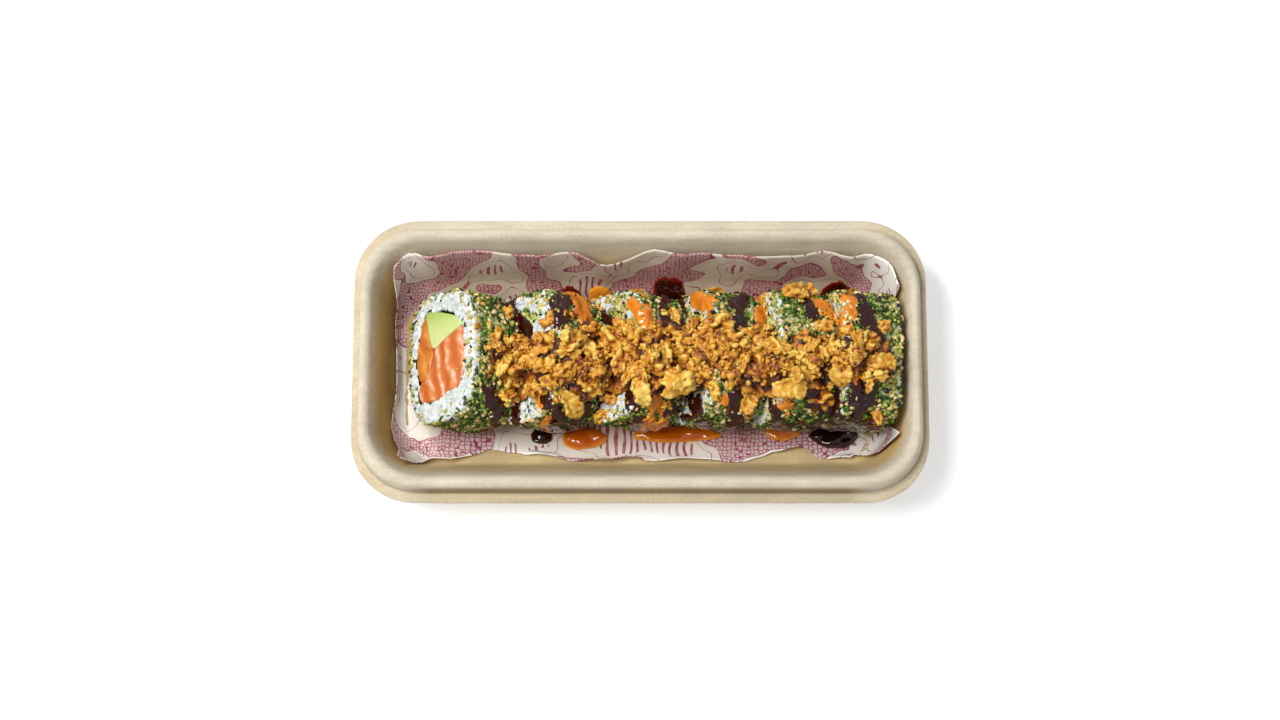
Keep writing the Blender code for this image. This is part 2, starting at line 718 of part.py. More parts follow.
def add_flake(core_tree, trees, x, y, size, turn, chance):
    """A flake on the heap's core, raised until it clears the roll, or nothing where it can't."""
    hit, away, _, _ = core_tree.ray_cast(Vector((x, y, ABOVE_ALL)), Vector((0, 0, -1)))
    if hit is None:
        return None
    length, width = size
    heading, tilt = turn
    way = away.lerp(Vector((0, 0, 1)), 0.4).normalized()
    lie = way.to_track_quat("Z", "Y").to_matrix().to_4x4()
    spin = Matrix.Rotation(heading, 4, "Z") @ Matrix.Rotation(tilt, 4, "Y")
    curl = chance.uniform(0.08, 0.22) * length
    for lift in range(4):
        bm = flake_mesh(length, width, CRISP_THICKNESS, curl)
        bm.transform(Matrix.Translation(hit + away * (0.2 + 0.6 * lift) * MM) @ lie @ spin)
        if touches(bm, [core_tree]) and not touches(bm, trees):
            return add_object("flake", bm, None)
        bm.free()
    return None


def build_onions(rice_trees, cutters):
    """Core of the heap with its flakes fused on."""
    finish = material("fried onion", (0.62, 0.32, 0.07), 0.6)
    core = build_heap_core(finish, cutters)
    core_tree = world_tree(core)
    trees = rice_trees + [world_tree(cutter) for cutter in cutters.objects]
    chance = random.Random(11)
    flakes = []
    for x, y, length, width, heading, tilt in LARGE_FLAKES:
        turn = (math.radians(heading), math.radians(tilt))
        flakes.append(add_flake(core_tree, trees, x * MM, y * MM, (length * MM, width * MM), turn, chance))
    for i in range(SMALL_FLAKES):
        x = HEAP_FROM + (HEAP_TO - HEAP_FROM) * (i + chance.random()) / SMALL_FLAKES
        y = HEAP_Y + chance.uniform(-0.9, 0.9) * HEAP_HALF_WIDTH
        length = chance.uniform(5.0, 9.0) * MM
        size = (length, length * chance.uniform(0.45, 0.8))
        turn = (chance.uniform(0, math.pi), chance.uniform(-0.6, 0.6))
        flakes.append(add_flake(core_tree, trees, x, y, size, turn, chance))
    fuse(core, [flake for flake in flakes if flake])
    keep_largest_body(core)


def build():
    for obj in list(bpy.data.objects):
        bpy.data.objects.remove(obj)
    build_tray()
    paper = build_paper()
    places = place_pieces()
    cutters = build_cutters(places)
    rice_finish = material("pressed rice", (0.82, 0.85, 0.88), 0.5)
    nori_finish = material("nori", (0.02, 0.025, 0.015), 0.5)
    salmon_finish = material("salmon", (0.80, 0.27, 0.10), 0.3)
    avocado_finish = material("avocado", (0.55, 0.66, 0.20), 0.45)
    chance = random.Random(5)
    rice_trees = []
    for number, place in enumerate(places, start=1):
        rice = build_rice(number, place, rice_finish)
        build_coat(number, place, rice, chance)
        rice_trees.append(world_tree(rice))
        build_prism(f"nori_{number}", wrap_outline(NORI), place, nori_finish, hole=wrap_outline(0.0))
        build_prism(f"salmon_{number}", in_metres(SALMON), place, salmon_finish)
        build_prism(f"salmon_edge_{number}", in_metres(SALMON_EDGE), place, salmon_finish)
        build_prism(f"avocado_{number}", in_metres(AVOCADO), place, avocado_finish)
    soy_finish = material("soy glaze", (0.03, 0.008, 0.008), 0.12)
    chilli_finish = material("chilli sauce", (0.62, 0.12, 0.01), 0.15)
    for number, pool in enumerate(SOY_POOLS, start=1):
        build_pool(f"soy_pool_{number}", pool, paper, soy_finish, cutters)
    for number, pool in enumerate(CHILLI_POOLS, start=1):
        build_pool(f"chilli_pool_{number}", pool, paper, chilli_finish, cutters)
    build_onions(rice_trees, cutters)
    for cutter in list(cutters.objects):
        bpy.data.objects.remove(cutter)
    bpy.data.collections.remove(cutters)


build()
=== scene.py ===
"""An uramaki roll in its takeaway tray: the finish of every surface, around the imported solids."""
import math
import random

import bmesh
import bpy
import numpy as np
from mathutils import Matrix, Vector, noise
from mathutils.bvhtree import BVHTree
from mathutils.kdtree import KDTree


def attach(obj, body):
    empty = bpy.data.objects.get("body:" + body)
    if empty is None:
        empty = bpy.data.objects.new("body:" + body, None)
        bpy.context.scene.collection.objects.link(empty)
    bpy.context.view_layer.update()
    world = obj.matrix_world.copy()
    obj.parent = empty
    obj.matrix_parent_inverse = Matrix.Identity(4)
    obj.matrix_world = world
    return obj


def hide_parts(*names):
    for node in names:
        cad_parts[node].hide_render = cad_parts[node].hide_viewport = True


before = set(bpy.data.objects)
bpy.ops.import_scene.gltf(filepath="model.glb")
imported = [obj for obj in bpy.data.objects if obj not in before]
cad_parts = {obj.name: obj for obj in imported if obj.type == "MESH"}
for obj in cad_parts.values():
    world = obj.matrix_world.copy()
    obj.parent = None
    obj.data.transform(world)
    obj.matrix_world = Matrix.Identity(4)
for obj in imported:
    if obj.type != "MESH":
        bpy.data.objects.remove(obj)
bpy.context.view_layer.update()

MM = 0.001


# Studio
# A white sweep of card under the tray, one large soft window light from the upper left, a small lamp
# that glints on what is wet, and a pale room round it. The camera looks down on the tray, tilted a little.
CAMERA_TILT = 14.0
CAMERA_DISTANCE = 1.17
CAMERA_LENS = 84.9
RIM_HEIGHT = 31.0 * MM
WINDOW_SIZE = 0.45
WINDOW_PLACE = (-0.37, -0.02, 0.90)
WINDOW_POWER = 7.8
LAMP_SIZE = 0.1
LAMP_PLACE = (-0.28, 0.22, 0.78)
LAMP_POWER = 1.7
ROOM_LIGHT = 0.46


def linear(hex_colour):
    """An sRGB hex colour as linear red, green, blue and alpha."""
    channels = [int(hex_colour[i:i + 2], 16) / 255 for i in (1, 3, 5)]
    return (*[c / 12.92 if c <= 0.04045 else ((c + 0.055) / 1.055) ** 2.4 for c in channels], 1.0)


def select_only(obj):
    """Makes one object the only selected and the active one."""
    for other in bpy.context.selected_objects:
        other.select_set(False)
    obj.select_set(True)
    bpy.context.view_layer.objects.active = obj


def new_material(name, **sockets):
    """A Principled material; its sockets are named with underscores for spaces."""
    material = bpy.data.materials.new(name)
    material.use_nodes = True
    shader = material.node_tree.nodes["Principled BSDF"]
    for socket, value in sockets.items():
        shader.inputs[socket.replace("_", " ")].default_value = value
    return material, shader


def add_node(material, kind, settings=None, **links):
    """Adds a node; links give each input a value, or the output socket that feeds it."""
    tree = material.node_tree
    node = tree.nodes.new(kind)
    for key, value in (settings or {}).items():
        setattr(node, key, value)
    for key, value in links.items():
        by_number = key[0] == "i" and key[1:].isdigit()
        socket = node.inputs[int(key[1:]) if by_number else key.replace("_", " ")]
        if isinstance(value, bpy.types.NodeSocket):
            tree.links.new(value, socket)
        else:
            socket.default_value = value
    return node


def feed(material, output, socket):
    """Links an output to a socket of the shader."""
    material.node_tree.links.new(output, socket)


select_only(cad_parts["tray"])
bpy.ops.mesh.primitive_plane_add(size=4.0, location=(0, 0, -0.3 * MM))
counter = bpy.context.object
counter.name = "counter"
card, _ = new_material("white card", Base_Color=linear("#FBFBFB"), Roughness=0.9,
                       Emission_Color=(0.90, 0.95, 1.0, 1.0), Emission_Strength=0.37)
counter.data.materials.append(card)

tilt = math.radians(CAMERA_TILT)
camera_data = bpy.data.cameras.new("camera")
camera_data.lens = CAMERA_LENS
camera_data.sensor_width = 36.0
camera = bpy.data.objects.new("camera", camera_data)
camera.location = (0, -CAMERA_DISTANCE * math.sin(tilt), RIM_HEIGHT + CAMERA_DISTANCE * math.cos(tilt))
camera.rotation_euler = (tilt, 0, 0)
bpy.context.scene.collection.objects.link(camera)
bpy.context.scene.camera = camera
bpy.context.scene.view_settings.view_transform = "Standard"


def area_light(name, place, size, power):
    """A square light that faces the tray."""
    light = bpy.data.lights.new(name, "AREA")
    light.energy = power
    light.size = size
    holder = bpy.data.objects.new(name, light)
    holder.location = place
    holder.rotation_euler = (-Vector(place)).to_track_quat("-Z", "Y").to_euler()
    bpy.context.scene.collection.objects.link(holder)


area_light("window", WINDOW_PLACE, WINDOW_SIZE, WINDOW_POWER)
area_light("lamp", LAMP_PLACE, LAMP_SIZE, LAMP_POWER)
room = bpy.data.worlds.new("room")
room.use_nodes = True
room.node_tree.nodes["Background"].inputs["Color"].default_value = linear("#F6F8FB")
room.node_tree.nodes["Background"].inputs["Strength"].default_value = ROOM_LIGHT
bpy.context.scene.world = room


# Tray
# Pulp of bagasse and wood fibre, drawn on to a mesh mould and hot pressed: one shell of even wall, with a
# rolled rim and a flat flange that a lid snaps over. It stands loose on the counter.
TRAY_LENGTH = 223.2 * MM
TRAY_WIDTH = 113.2 * MM
TRAY_WALL = 1.2 * MM
CREST_HEIGHT = 38.0 * MM
FLOOR_TOP = TRAY_WALL
# From the flange inwards: inset at the ends, inset at the long sides, height and corner radius
TRAY_STEPS = (
    (0.0 * MM, 0.0 * MM, CREST_HEIGHT - 7.0 * MM, 25.0 * MM),
    (2.1 * MM, 3.8 * MM, CREST_HEIGHT - 7.1 * MM, 23.3 * MM),
    (2.5 * MM, 4.3 * MM, CREST_HEIGHT - 7.0 * MM, 23.0 * MM),
    (2.6 * MM, 4.5 * MM, CREST_HEIGHT - 5.6 * MM, 22.9 * MM),
    (3.0 * MM, 5.0 * MM, CREST_HEIGHT - 1.5 * MM, 22.5 * MM),
    (4.6 * MM, 7.0 * MM, CREST_HEIGHT, 21.5 * MM),
    (6.8 * MM, 9.3 * MM, CREST_HEIGHT - 1.2 * MM, 20.5 * MM),
    (8.0 * MM, 10.8 * MM, CREST_HEIGHT - 4.0 * MM, 20.0 * MM),
    (14.0 * MM, 19.5 * MM, 6.5 * MM, 16.0 * MM),
    (16.0 * MM, 21.5 * MM, 2.8 * MM, 14.0 * MM),
    (19.0 * MM, 24.0 * MM, FLOOR_TOP, 12.0 * MM),
)
FIRST_INSIDE_STEP = 7
# Tints that the wall's colour is multiplied by; the groove, near flange and end wall tints are painted shade
UNTINTED = (1.0, 1.0, 1.0, 1.0)
GROOVE_SHADE_TINT = (0.50, 0.42, 0.30, 1.0)
NEAR_FLANGE_SHADE_TINT = (0.80, 0.76, 0.66, 1.0)
END_WALL_SHADE_TINT = (0.88, 0.72, 0.44, 1.0)


def quarter_direction(quarters):
    """Level direction at a number of quarter turns from +X."""
    return Vector((math.cos(quarters * math.pi / 2), math.sin(quarters * math.pi / 2), 0))


def rounded_ring(step, arc_steps, long_steps, short_steps):
    """Points round the tray at one step of its profile, anticlockwise from the right-hand end."""
    inset_x, inset_y, height, radius = step
    half_x = TRAY_LENGTH / 2 - inset_x - radius
    half_y = TRAY_WIDTH / 2 - inset_y - radius
    corners = []
    for quarter, (sign_x, sign_y) in enumerate(((1, 1), (-1, 1), (-1, -1), (1, -1))):
        centre = Vector((sign_x * half_x, sign_y * half_y, height))
        turns = [quarter + i / arc_steps for i in range(arc_steps + 1)]
        corners.append([centre + radius * quarter_direction(turn) for turn in turns])
    points = []
    for quarter, corner in enumerate(corners):
        points += corner
        target = corners[(quarter + 1) % 4][0]
        steps = short_steps if quarter % 2 else long_steps
        points += [corner[-1].lerp(target, i / steps) for i in range(1, steps)]
    return points


def sheet_from_rings(name, rings):
    """A filled circle, inset once for each ring and set to it, from the outer edge to the middle."""
    bpy.ops.mesh.primitive_circle_add(vertices=len(rings[0]), radius=0.1, fill_type="NGON")
    sheet = bpy.context.object
    sheet.name = name
    for vert, point in zip(sheet.data.vertices, rings[0]):
        vert.co = point
    select_only(sheet)
    bpy.ops.object.mode_set(mode="EDIT")
    bpy.ops.mesh.select_mode(type="FACE")
    bpy.ops.mesh.select_all(action="SELECT")
    for before, ring in zip(rings, rings[1:]):
        bpy.ops.mesh.inset(thickness=0.01 * MM, depth=0)
        bm = bmesh.from_edit_mesh(sheet.data)
        cap = next(face for face in bm.faces if face.select)
        reached = {}
        for vert in cap.verts:
            outer = next(e.other_vert(vert) for e in vert.link_edges if e.other_vert(vert) not in cap.verts)
            reached[vert] = min(range(len(before)), key=lambda i: (before[i] - outer.co).length_squared)
        for vert, i in reached.items():
            vert.co = ring[i]
        bmesh.update_edit_mesh(sheet.data)
    bpy.ops.object.mode_set(mode="OBJECT")
    return sheet


def apply_all(obj):
    """Applies every modifier of an object, in order."""
    select_only(obj)
    for modifier in list(obj.modifiers):
        bpy.ops.object.modifier_apply(modifier=modifier.name)


tray = sheet_from_rings("moulded_tray", [rounded_ring(step, 10, 24, 10) for step in TRAY_STEPS])
tray_wall = tray.modifiers.new("wall", "SOLIDIFY")
tray_wall.thickness = TRAY_WALL
tray_wall.offset = -1
tray_wall.use_even_offset = True
tray_round = tray.modifiers.new("soft edges", "SUBSURF")
tray_round.levels = 2
tray_round.render_levels = 2
pulp = bpy.data.textures.new("pulp", "CLOUDS")
pulp.noise_scale = 0.006
tray_pulp = tray.modifiers.new("uneven pulp", "DISPLACE")
tray_pulp.texture = pulp
tray_pulp.texture_coords = "LOCAL"
tray_pulp.strength = 0.25 * MM
apply_all(tray)
bpy.ops.object.shade_smooth()


def object_place(material):
    """The output that gives a place in the object's own axes."""
    return add_node(material, "ShaderNodeTexCoord").outputs["Object"]


def sums(material, operation, first, second=0.5, third=0.5):
    """The output of one sum in a material."""
    settings = {"operation": operation}
    return add_node(material, "ShaderNodeMath", settings, i0=first, i1=second, i2=third).outputs[0]


def speckled(material, place, scale, detail=2.0):
    """The output of a noise at one scale in a material."""
    return add_node(material, "ShaderNodeTexNoise", Vector=place, Scale=scale, Detail=detail).outputs[0]


def faded(material, value, low, high, from_level=0.0, to_level=1.0):
    """The output that runs from one level to another while a value runs from low to high."""
    return add_node(material, "ShaderNodeMapRange", Value=value, From_Min=low, From_Max=high,
                    To_Min=from_level, To_Max=to_level).outputs[0]


def ramped(material, factor, *stops):
    """The output of a colour ramp; each stop holds its position and its colour."""
    ramp = add_node(material, "ShaderNodeValToRGB", Fac=factor)
    elements = ramp.color_ramp.elements
    elements[0].position = stops[0][0]
    elements[1].position = stops[-1][0]
    for position, _ in stops[1:-1]:
        elements.new(position)
    for element, (_, colour) in zip(elements, stops):
        element.color = linear(colour) if isinstance(colour, str) else colour
    return ramp.outputs[0]


def tinted(material, colour, tint):
    """The output of a colour multiplied by a tint."""
    settings = {"operation": "MULTIPLY"}
    return add_node(material, "ShaderNodeVectorMath", settings, i0=colour, i1=tint).outputs[0]


def roughened(material, shader, height, strength, distance):
    """Raises and sinks a material's surface by a pattern, up to a distance in millimetres."""
    bump = add_node(material, "ShaderNodeBump", Strength=strength, Distance=distance * MM, Height=height)
    feed(material, bump.outputs[0], shader.inputs["Normal"])


# Pressed pulp: warm beige and quite matt, with short fibres in every direction, soft streaks where the
# mould drew it, and a fine felt left by the mesh on its face.
pulp_finish, pulp_shader = new_material("moulded fibre", Roughness=0.88, Specular_IOR_Level=0.25)
place = object_place(pulp_finish)
along = add_node(pulp_finish, "ShaderNodeMapping", Vector=place, Scale=(60, 420, 420))
streaks = speckled(pulp_finish, along.outputs[0], 1.0, 4.0)
fibres = speckled(pulp_finish, place, 900.0, 5.0)
clouds = speckled(pulp_finish, place, 45.0)
mixed = sums(pulp_finish, "ADD", sums(pulp_finish, "ADD", streaks, fibres), clouds)
mixed = sums(pulp_finish, "DIVIDE", mixed, 3.0)
tones = faded(pulp_finish, mixed, 0.36, 0.64, 0.80, 1.12)
spot = add_node(pulp_finish, "ShaderNodeSeparateXYZ", Vector=place)
# Painted shade: the pulp is a deeper, warmer beige low down, where the inside of the tray is shaded and
# light bounces off its brown walls
rise = faded(pulp_finish, spot.outputs["Z"], 6 * MM, 37 * MM)
depth = ramped(pulp_finish, rise, (0.0, "#C6B083"), (0.55, "#C9B78E"), (0.78, "#C8BDA6"), (1.0, "#C8BDA7"))
# Painted shade along the near side: the groove behind the flange is darkened where shade falls in it, and
# the flange itself is dimmed where it slopes away from the light
near = faded(pulp_finish, spot.outputs["Y"], -51.2 * MM, -53.2 * MM)
flange = ramped(pulp_finish, near, (0.0, UNTINTED), (0.35, GROOVE_SHADE_TINT), (0.65, GROOVE_SHADE_TINT),
                (1.0, NEAR_FLANGE_SHADE_TINT))
sideways = sums(pulp_finish, "ABSOLUTE", spot.outputs["X"])
straight = faded(pulp_finish, sideways, 92 * MM, 80 * MM)
flange = add_node(pulp_finish, "ShaderNodeMix", {"data_type": "RGBA"}, i0=straight, i6=UNTINTED, i7=flange)
toned = tinted(pulp_finish, depth, flange.outputs[2])
# Painted shade: the end walls are browner low down, where they stand in shade
at_ends = faded(pulp_finish, sideways, 84 * MM, 98 * MM)
below = faded(pulp_finish, spot.outputs["Z"], 35 * MM, 22 * MM)
end_wall_shade = sums(pulp_finish, "MULTIPLY", at_ends, below)
end_wall_shade = ramped(pulp_finish, end_wall_shade, (0.0, UNTINTED), (1.0, END_WALL_SHADE_TINT))
toned = tinted(pulp_finish, toned, end_wall_shade)
shaded = add_node(pulp_finish, "ShaderNodeVectorMath", {"operation": "SCALE"}, i0=toned, Scale=tones)
feed(pulp_finish, shaded.outputs[0], pulp_shader.inputs["Base Color"])
roughened(pulp_finish, pulp_shader, mixed, 0.55, 0.25)
tray.data.materials.append(pulp_finish)
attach(tray, "root")
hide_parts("tray")


# Liner
# A sheet of printed greaseproof paper, crumpled by hand and pushed into the tray, so that it climbs the far
# wall in soft waves, stands up in the tray's four corners and ends loosely on the floor towards the viewer.
PAPER = 0.25 * MM
PAPER_LIFT = 0.4 * MM
PAPER_ROWS = 30
FAR_EDGE = ((-99, 33), (-90, 31), (-25, 31), (-12, 25), (6, 32), (20, 32), (34, 29), (60, 31), (80, 31),
            (103, 33))
NEAR_EDGE = ((-98, 41), (-86, 36.8), (-73, 36.8), (-66, 32), (-59, 29.3), (-50, 30.7), (-37, 33.6),
             (-13, 36.8), (5, 35), (41, 35), (54, 30.5), (64, 28.5), (73, 34), (89, 35), (102, 31))
LEFT_EDGE = ((-41, -95), (-22, -98.3), (39, -98.3))
RIGHT_EDGE = ((-31, 102), (-19, 97.5), (-8, 95.5), (14, 95.5), (33, 103))
SHEET_STEPS = 300
PAPER_WAVE = 1.6 * MM
BRIDGE_ROWS = 3
# The print follows one soft cloud: scales where it is high, waves where it is low, and outlines at some
# levels, each with its width
SCALES_ABOVE = 0.578
WAVES_BELOW = 0.425
OUTLINES = ((0.577, 0.005), (0.505, 0.003))


def between(table, x):
    """Reads a table of (place, value) rows by a smooth curve between its rows."""
    if x <= table[0][0]:
        return table[0][1]
    for (x0, y0), (x1, y1) in zip(table, table[1:]):
        if x <= x1:
            share = (x - x0) / (x1 - x0)
            return y0 + (y1 - y0) * share * share * (3 - 2 * share)
    return table[-1][1]


def in_sheet(point):
    """Whether a place on the tray's inside is covered by the sheet."""
    x, y = point.x / MM, point.y / MM
    if not between(LEFT_EDGE, y) < x < between(RIGHT_EDGE, y):
        return False
    if y > 0:
        return point.z < between(FAR_EDGE, x) * MM
    return -y < between(NEAR_EDGE, x)


def point_at_distance(path, distance):
    """Place on a path, and the direction that leaves its surface there."""
    for low, high in zip(path, path[1:]):
        run = (high - low).length
        if distance <= run or high is path[-1]:
            way = (high - low).normalized()
            level = Vector((way.x, way.y, 0)).normalized()
            return low + way * distance, Vector((0, 0, 1)) * way.dot(level) - level * way.z
        distance -= run
    return path[-1], Vector((0, 0, 1))


def paper_reach(path):
    """Distance that the paper covers from the tray's middle line on one path."""
    length = sum((high - low).length for low, high in zip(path, path[1:]))
    for i in range(1, SHEET_STEPS):
        place, _ = point_at_distance(path, length * i / SHEET_STEPS)
        if not in_sheet(place):
            return length * (i - 1) / SHEET_STEPS
    return length


def wave_at(number):
    """Share of the wave that the paper's edge has at a path; whole numbers are the folds' own places."""
    def at(whole):
        return 1 + math.sin(2.1 * whole + 0.8 * math.sin(1.3 * whole))
    share = number - math.floor(number)
    share = share * share * (3 - 2 * share)
    return at(math.floor(number)) * (1 - share) + at(math.floor(number) + 1) * share


def paper_rows():
    """Rings of the paper from its edge to the middle line, and where each point lies in the flat sheet."""
    inside = [rounded_ring(step, 12, 45, 9) for step in reversed(TRAY_STEPS[FIRST_INSIDE_STEP:])]
    spine_half = TRAY_LENGTH / 2 - TRAY_STEPS[-1][0] - TRAY_WIDTH / 2 + TRAY_STEPS[-1][1]
    rings = [[] for row in range(PAPER_ROWS)]
    sheet = [[] for row in range(PAPER_ROWS)]
    for number, column in enumerate(zip(*inside)):
        middle = Vector((max(-spine_half, min(spine_half, column[0].x)), 0, FLOOR_TOP))
        path = [middle, *column]
        reach = paper_reach(path)
        floor = min((path[1] - path[0]).length, 0.82 * reach)
        outward = Vector((column[-1].x - middle.x, column[-1].y, 0)).normalized()
        bends = [0, floor] + [floor + (reach - floor) * i / BRIDGE_ROWS for i in range(1, BRIDGE_ROWS + 1)]
        for row in range(PAPER_ROWS):
            distance = reach * (1 - row / (PAPER_ROWS - 1)) ** 0.8
            i = max(1, next((k for k, bend in enumerate(bends) if bend >= distance - 1e-9), len(bends) - 1))
            low, _ = point_at_distance(path, bends[i - 1])
            high, away = point_at_distance(path, bends[i])
            part = (distance - bends[i - 1]) / (bends[i] - bends[i - 1])
            rise = max(0.0, (distance - floor) / (reach - floor))
            lift = PAPER_LIFT + PAPER + PAPER_WAVE * rise ** 1.5 * wave_at(number / 3)
            rings[row].append(low.lerp(high, part) + away * lift)
            sheet[row].append(middle + outward * distance)
    return rings, sheet


rings, sheet = paper_rows()
liner = sheet_from_rings("printed_liner", rings)
select_only(liner)
bpy.ops.object.mode_set(mode="EDIT")
bpy.ops.mesh.delete(type="ONLY_FACE")
bpy.ops.mesh.select_all(action="SELECT")
bpy.ops.mesh.remove_doubles(threshold=0.05 * MM)
bpy.ops.object.mode_set(mode="OBJECT")
nearest = KDTree(len(rings) * len(rings[0]))
for i, point in enumerate(point for ring in rings for point in ring):
    nearest.insert(point, i)
nearest.balance()
unfolded = [point for ring in sheet for point in ring]
flat = liner.data.uv_layers.new(name="flat")
for loop in liner.data.loops:
    _, i, _ = nearest.find(liner.data.vertices[loop.vertex_index].co)
    flat.data[loop.index].uv = (unfolded[i].x / 0.1, unfolded[i].y / 0.1)
edge_tree = KDTree(len(rings[0]))
for i, point in enumerate(rings[0]):
    edge_tree.insert(point, i)
edge_tree.balance()
# Painted light in part: the paper is paler towards its edge, most in the four corners and along the near
# side and least on the shaded far side; partly it stands free of the tray's brown there, partly it is lit
# through
bright = []
for vert in liner.data.vertices:
    _, i, distance = edge_tree.find(vert.co)
    corner = min(1.0, max(0.0, (abs(vert.co.x) - 76 * MM) / (16 * MM)))
    loose = max(corner, 0.9 if vert.co.y < -20 * MM else 0.35)
    bright.append(min(1.0, 1.15 * loose * math.exp(-distance / ((8 + 15 * corner) * MM))))
liner.data.attributes.new("bright", "FLOAT", "POINT").data.foreach_set("value", bright)
crumple = bpy.data.textures.new("crumple", "CLOUDS")
crumple.noise_scale = 0.016
crumple.noise_depth = 3
crumple.noise_type = "SOFT_NOISE"
creases = liner.modifiers.new("creases", "DISPLACE")
creases.texture = crumple
creases.texture_coords = "LOCAL"
creases.strength = 0.9 * MM
creases.mid_level = 0.25
liner_sheet = liner.modifiers.new("sheet", "SOLIDIFY")
liner_sheet.thickness = PAPER
liner_sheet.offset = -1
apply_all(liner)
bpy.ops.object.shade_smooth()

# Greaseproof paper: thin and see-through, so it takes the tray's brown where it touches and is white where
# it stands free, with painted light where it is lit through at its edges and corners.
# One crimson ink prints a generic pattern: patches of scales, bundles of waves and outlines.
paper_finish, paper_shader = new_material("greaseproof paper", Roughness=0.36, Specular_IOR_Level=0.4)


def paper_sum(operation, first, second, third=0.5):
    """The output of one sum on the paper's pattern."""
    return sums(paper_finish, operation, first, second, third)


def paper_mix(factor, first, second):
    """The output of a mix of two colours on the paper, each an output or a hex colour."""
    first, second = [linear(colour) if isinstance(colour, str) else colour for colour in (first, second)]
    mix = add_node(paper_finish, "ShaderNodeMix", {"data_type": "RGBA"}, i0=factor, i6=first, i7=second)
    return mix.outputs[2]


flat_place = add_node(paper_finish, "ShaderNodeUVMap", {"uv_map": "flat"}).outputs[0]
scales = add_node(paper_finish, "ShaderNodeTexVoronoi", {"feature": "DISTANCE_TO_EDGE"}, Vector=flat_place,
                  Scale=62.0, Randomness=0.5)
scale_ink = paper_sum("LESS_THAN", scales.outputs["Distance"], 0.10)
wave_bands = add_node(paper_finish, "ShaderNodeTexWave", {"bands_direction": "X", "wave_profile": "SIN"},
                      Vector=flat_place, Scale=11.0, Distortion=6.0, Detail=1.0, Detail_Scale=0.8)
wave_ink = paper_sum("GREATER_THAN", wave_bands.outputs["Fac"], 0.66)
cloud_map = add_node(paper_finish, "ShaderNodeMapping", Vector=flat_place, Location=(3.35, 1.7, 0))
cloud = speckled(paper_finish, cloud_map.outputs[0], 4.4, 1.5)
# More scales on the far side, at the left end and in the near right-hand corner
up_sheet = add_node(paper_finish, "ShaderNodeSeparateXYZ", Vector=flat_place)
cloud = paper_sum("ADD", cloud, faded(paper_finish, up_sheet.outputs["Y"], 0.2, 0.4, 0.0, 0.045))
cloud = paper_sum("ADD", cloud, faded(paper_finish, up_sheet.outputs["X"], -0.66, -0.86, 0.0, 0.06))
right_end = faded(paper_finish, up_sheet.outputs["X"], 0.6, 0.8)
near_side = faded(paper_finish, up_sheet.outputs["Y"], -0.1, -0.28, 0.0, 0.09)
cloud = paper_sum("MULTIPLY_ADD", right_end, near_side, cloud)
in_scales = paper_sum("GREATER_THAN", cloud, SCALES_ABOVE)
in_waves = paper_sum("LESS_THAN", cloud, WAVES_BELOW)
ink = paper_sum("MAXIMUM", paper_sum("MULTIPLY", scale_ink, in_scales),
                paper_sum("MULTIPLY", wave_ink, in_waves))
for level, width in OUTLINES:
    ink = paper_sum("MAXIMUM", ink, paper_sum("COMPARE", cloud, level, width))
worn = speckled(paper_finish, flat_place, 30.0)
ink = paper_sum("MULTIPLY", ink, paper_sum("MULTIPLY_ADD", worn, 0.8, 0.45))
show_through = speckled(paper_finish, flat_place, 5.0, 3.0)
ground = ramped(paper_finish, show_through, (0.3, "#B9A385"), (0.7, "#D2C4AC"))
free_and_lit = add_node(paper_finish, "ShaderNodeAttribute", {"attribute_name": "bright"})
ground = paper_mix(free_and_lit.outputs["Fac"], ground, "#F3EFE8")
blushed = paper_mix(paper_sum("MULTIPLY", in_scales, 0.34), ground, "#B0446E")
feed(paper_finish, paper_mix(ink, blushed, "#940F4A"), paper_shader.inputs["Base Color"])
roughened(paper_finish, paper_shader, speckled(paper_finish, flat_place, 9.0, 4.0), 0.35, 1.0)
liner.data.materials.append(paper_finish)
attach(liner, "root")
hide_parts("paper_liner")


# Rice
# Six slices of short-grain rice, rolled round the filling, pressed square and cut with a wet knife. Each one
# leans on the next; nothing but its own weight and stickiness holds it.
LEAN = (44.0, 44.0, 41.5, 31.0, 22.0, 19.0)
PIECE_WIDTH = (51.5, 50.8, 50.2, 50.6, 51.0, 51.4)
PIECE_HEIGHT = 38.0 * MM
PIECE_THICKNESS = 23.0 * MM
PIECE_GAP = 0.8 * MM
FIRST_PIECE_X = -90.1 * MM
ROLL_Y = 1.2 * MM
REST_HEIGHT = FLOOR_TOP + 1.05 * MM
SQUARENESS = 3.5
EDGE_ROUND = 1.4 * MM
UNEVEN = 0.013
# Inner face of the nori ring, as (height up the slice, distance across it) in millimetres
WRAP = ((7.9, 19.1), (11.8, 19.7), (17.9, 18.5), (24.7, 16.4), (29.3, 13.9), (31.7, 11.2), (32.6, 6.5),
        (33.5, 0.0), (32.1, -8.3), (29.7, -13.9), (23.8, -14.6), (19.9, -17.1), (7.0, -17.6), (5.2, -12.6),
        (5.9, -8.5), (3.8, -2.7), (4.0, 4.0), (5.5, 11.0))
RICE_STATIONS = 120
GRAIN = (2.7, 1.25, 1.05)
FACE_GRAINS = 270
BACK_GRAINS = 90
SIDE_GRAINS = 190
# Grains smeared over the filling of the second slice
LOOSE_GRAINS = 36
# Bare rice beside the cut face of each slice, and beside its back, in millimetres
BARE_RIM = (3.0, 0.9, 0.9, 0.9, 0.9, 0.9)
BARE_BACK = 0.9


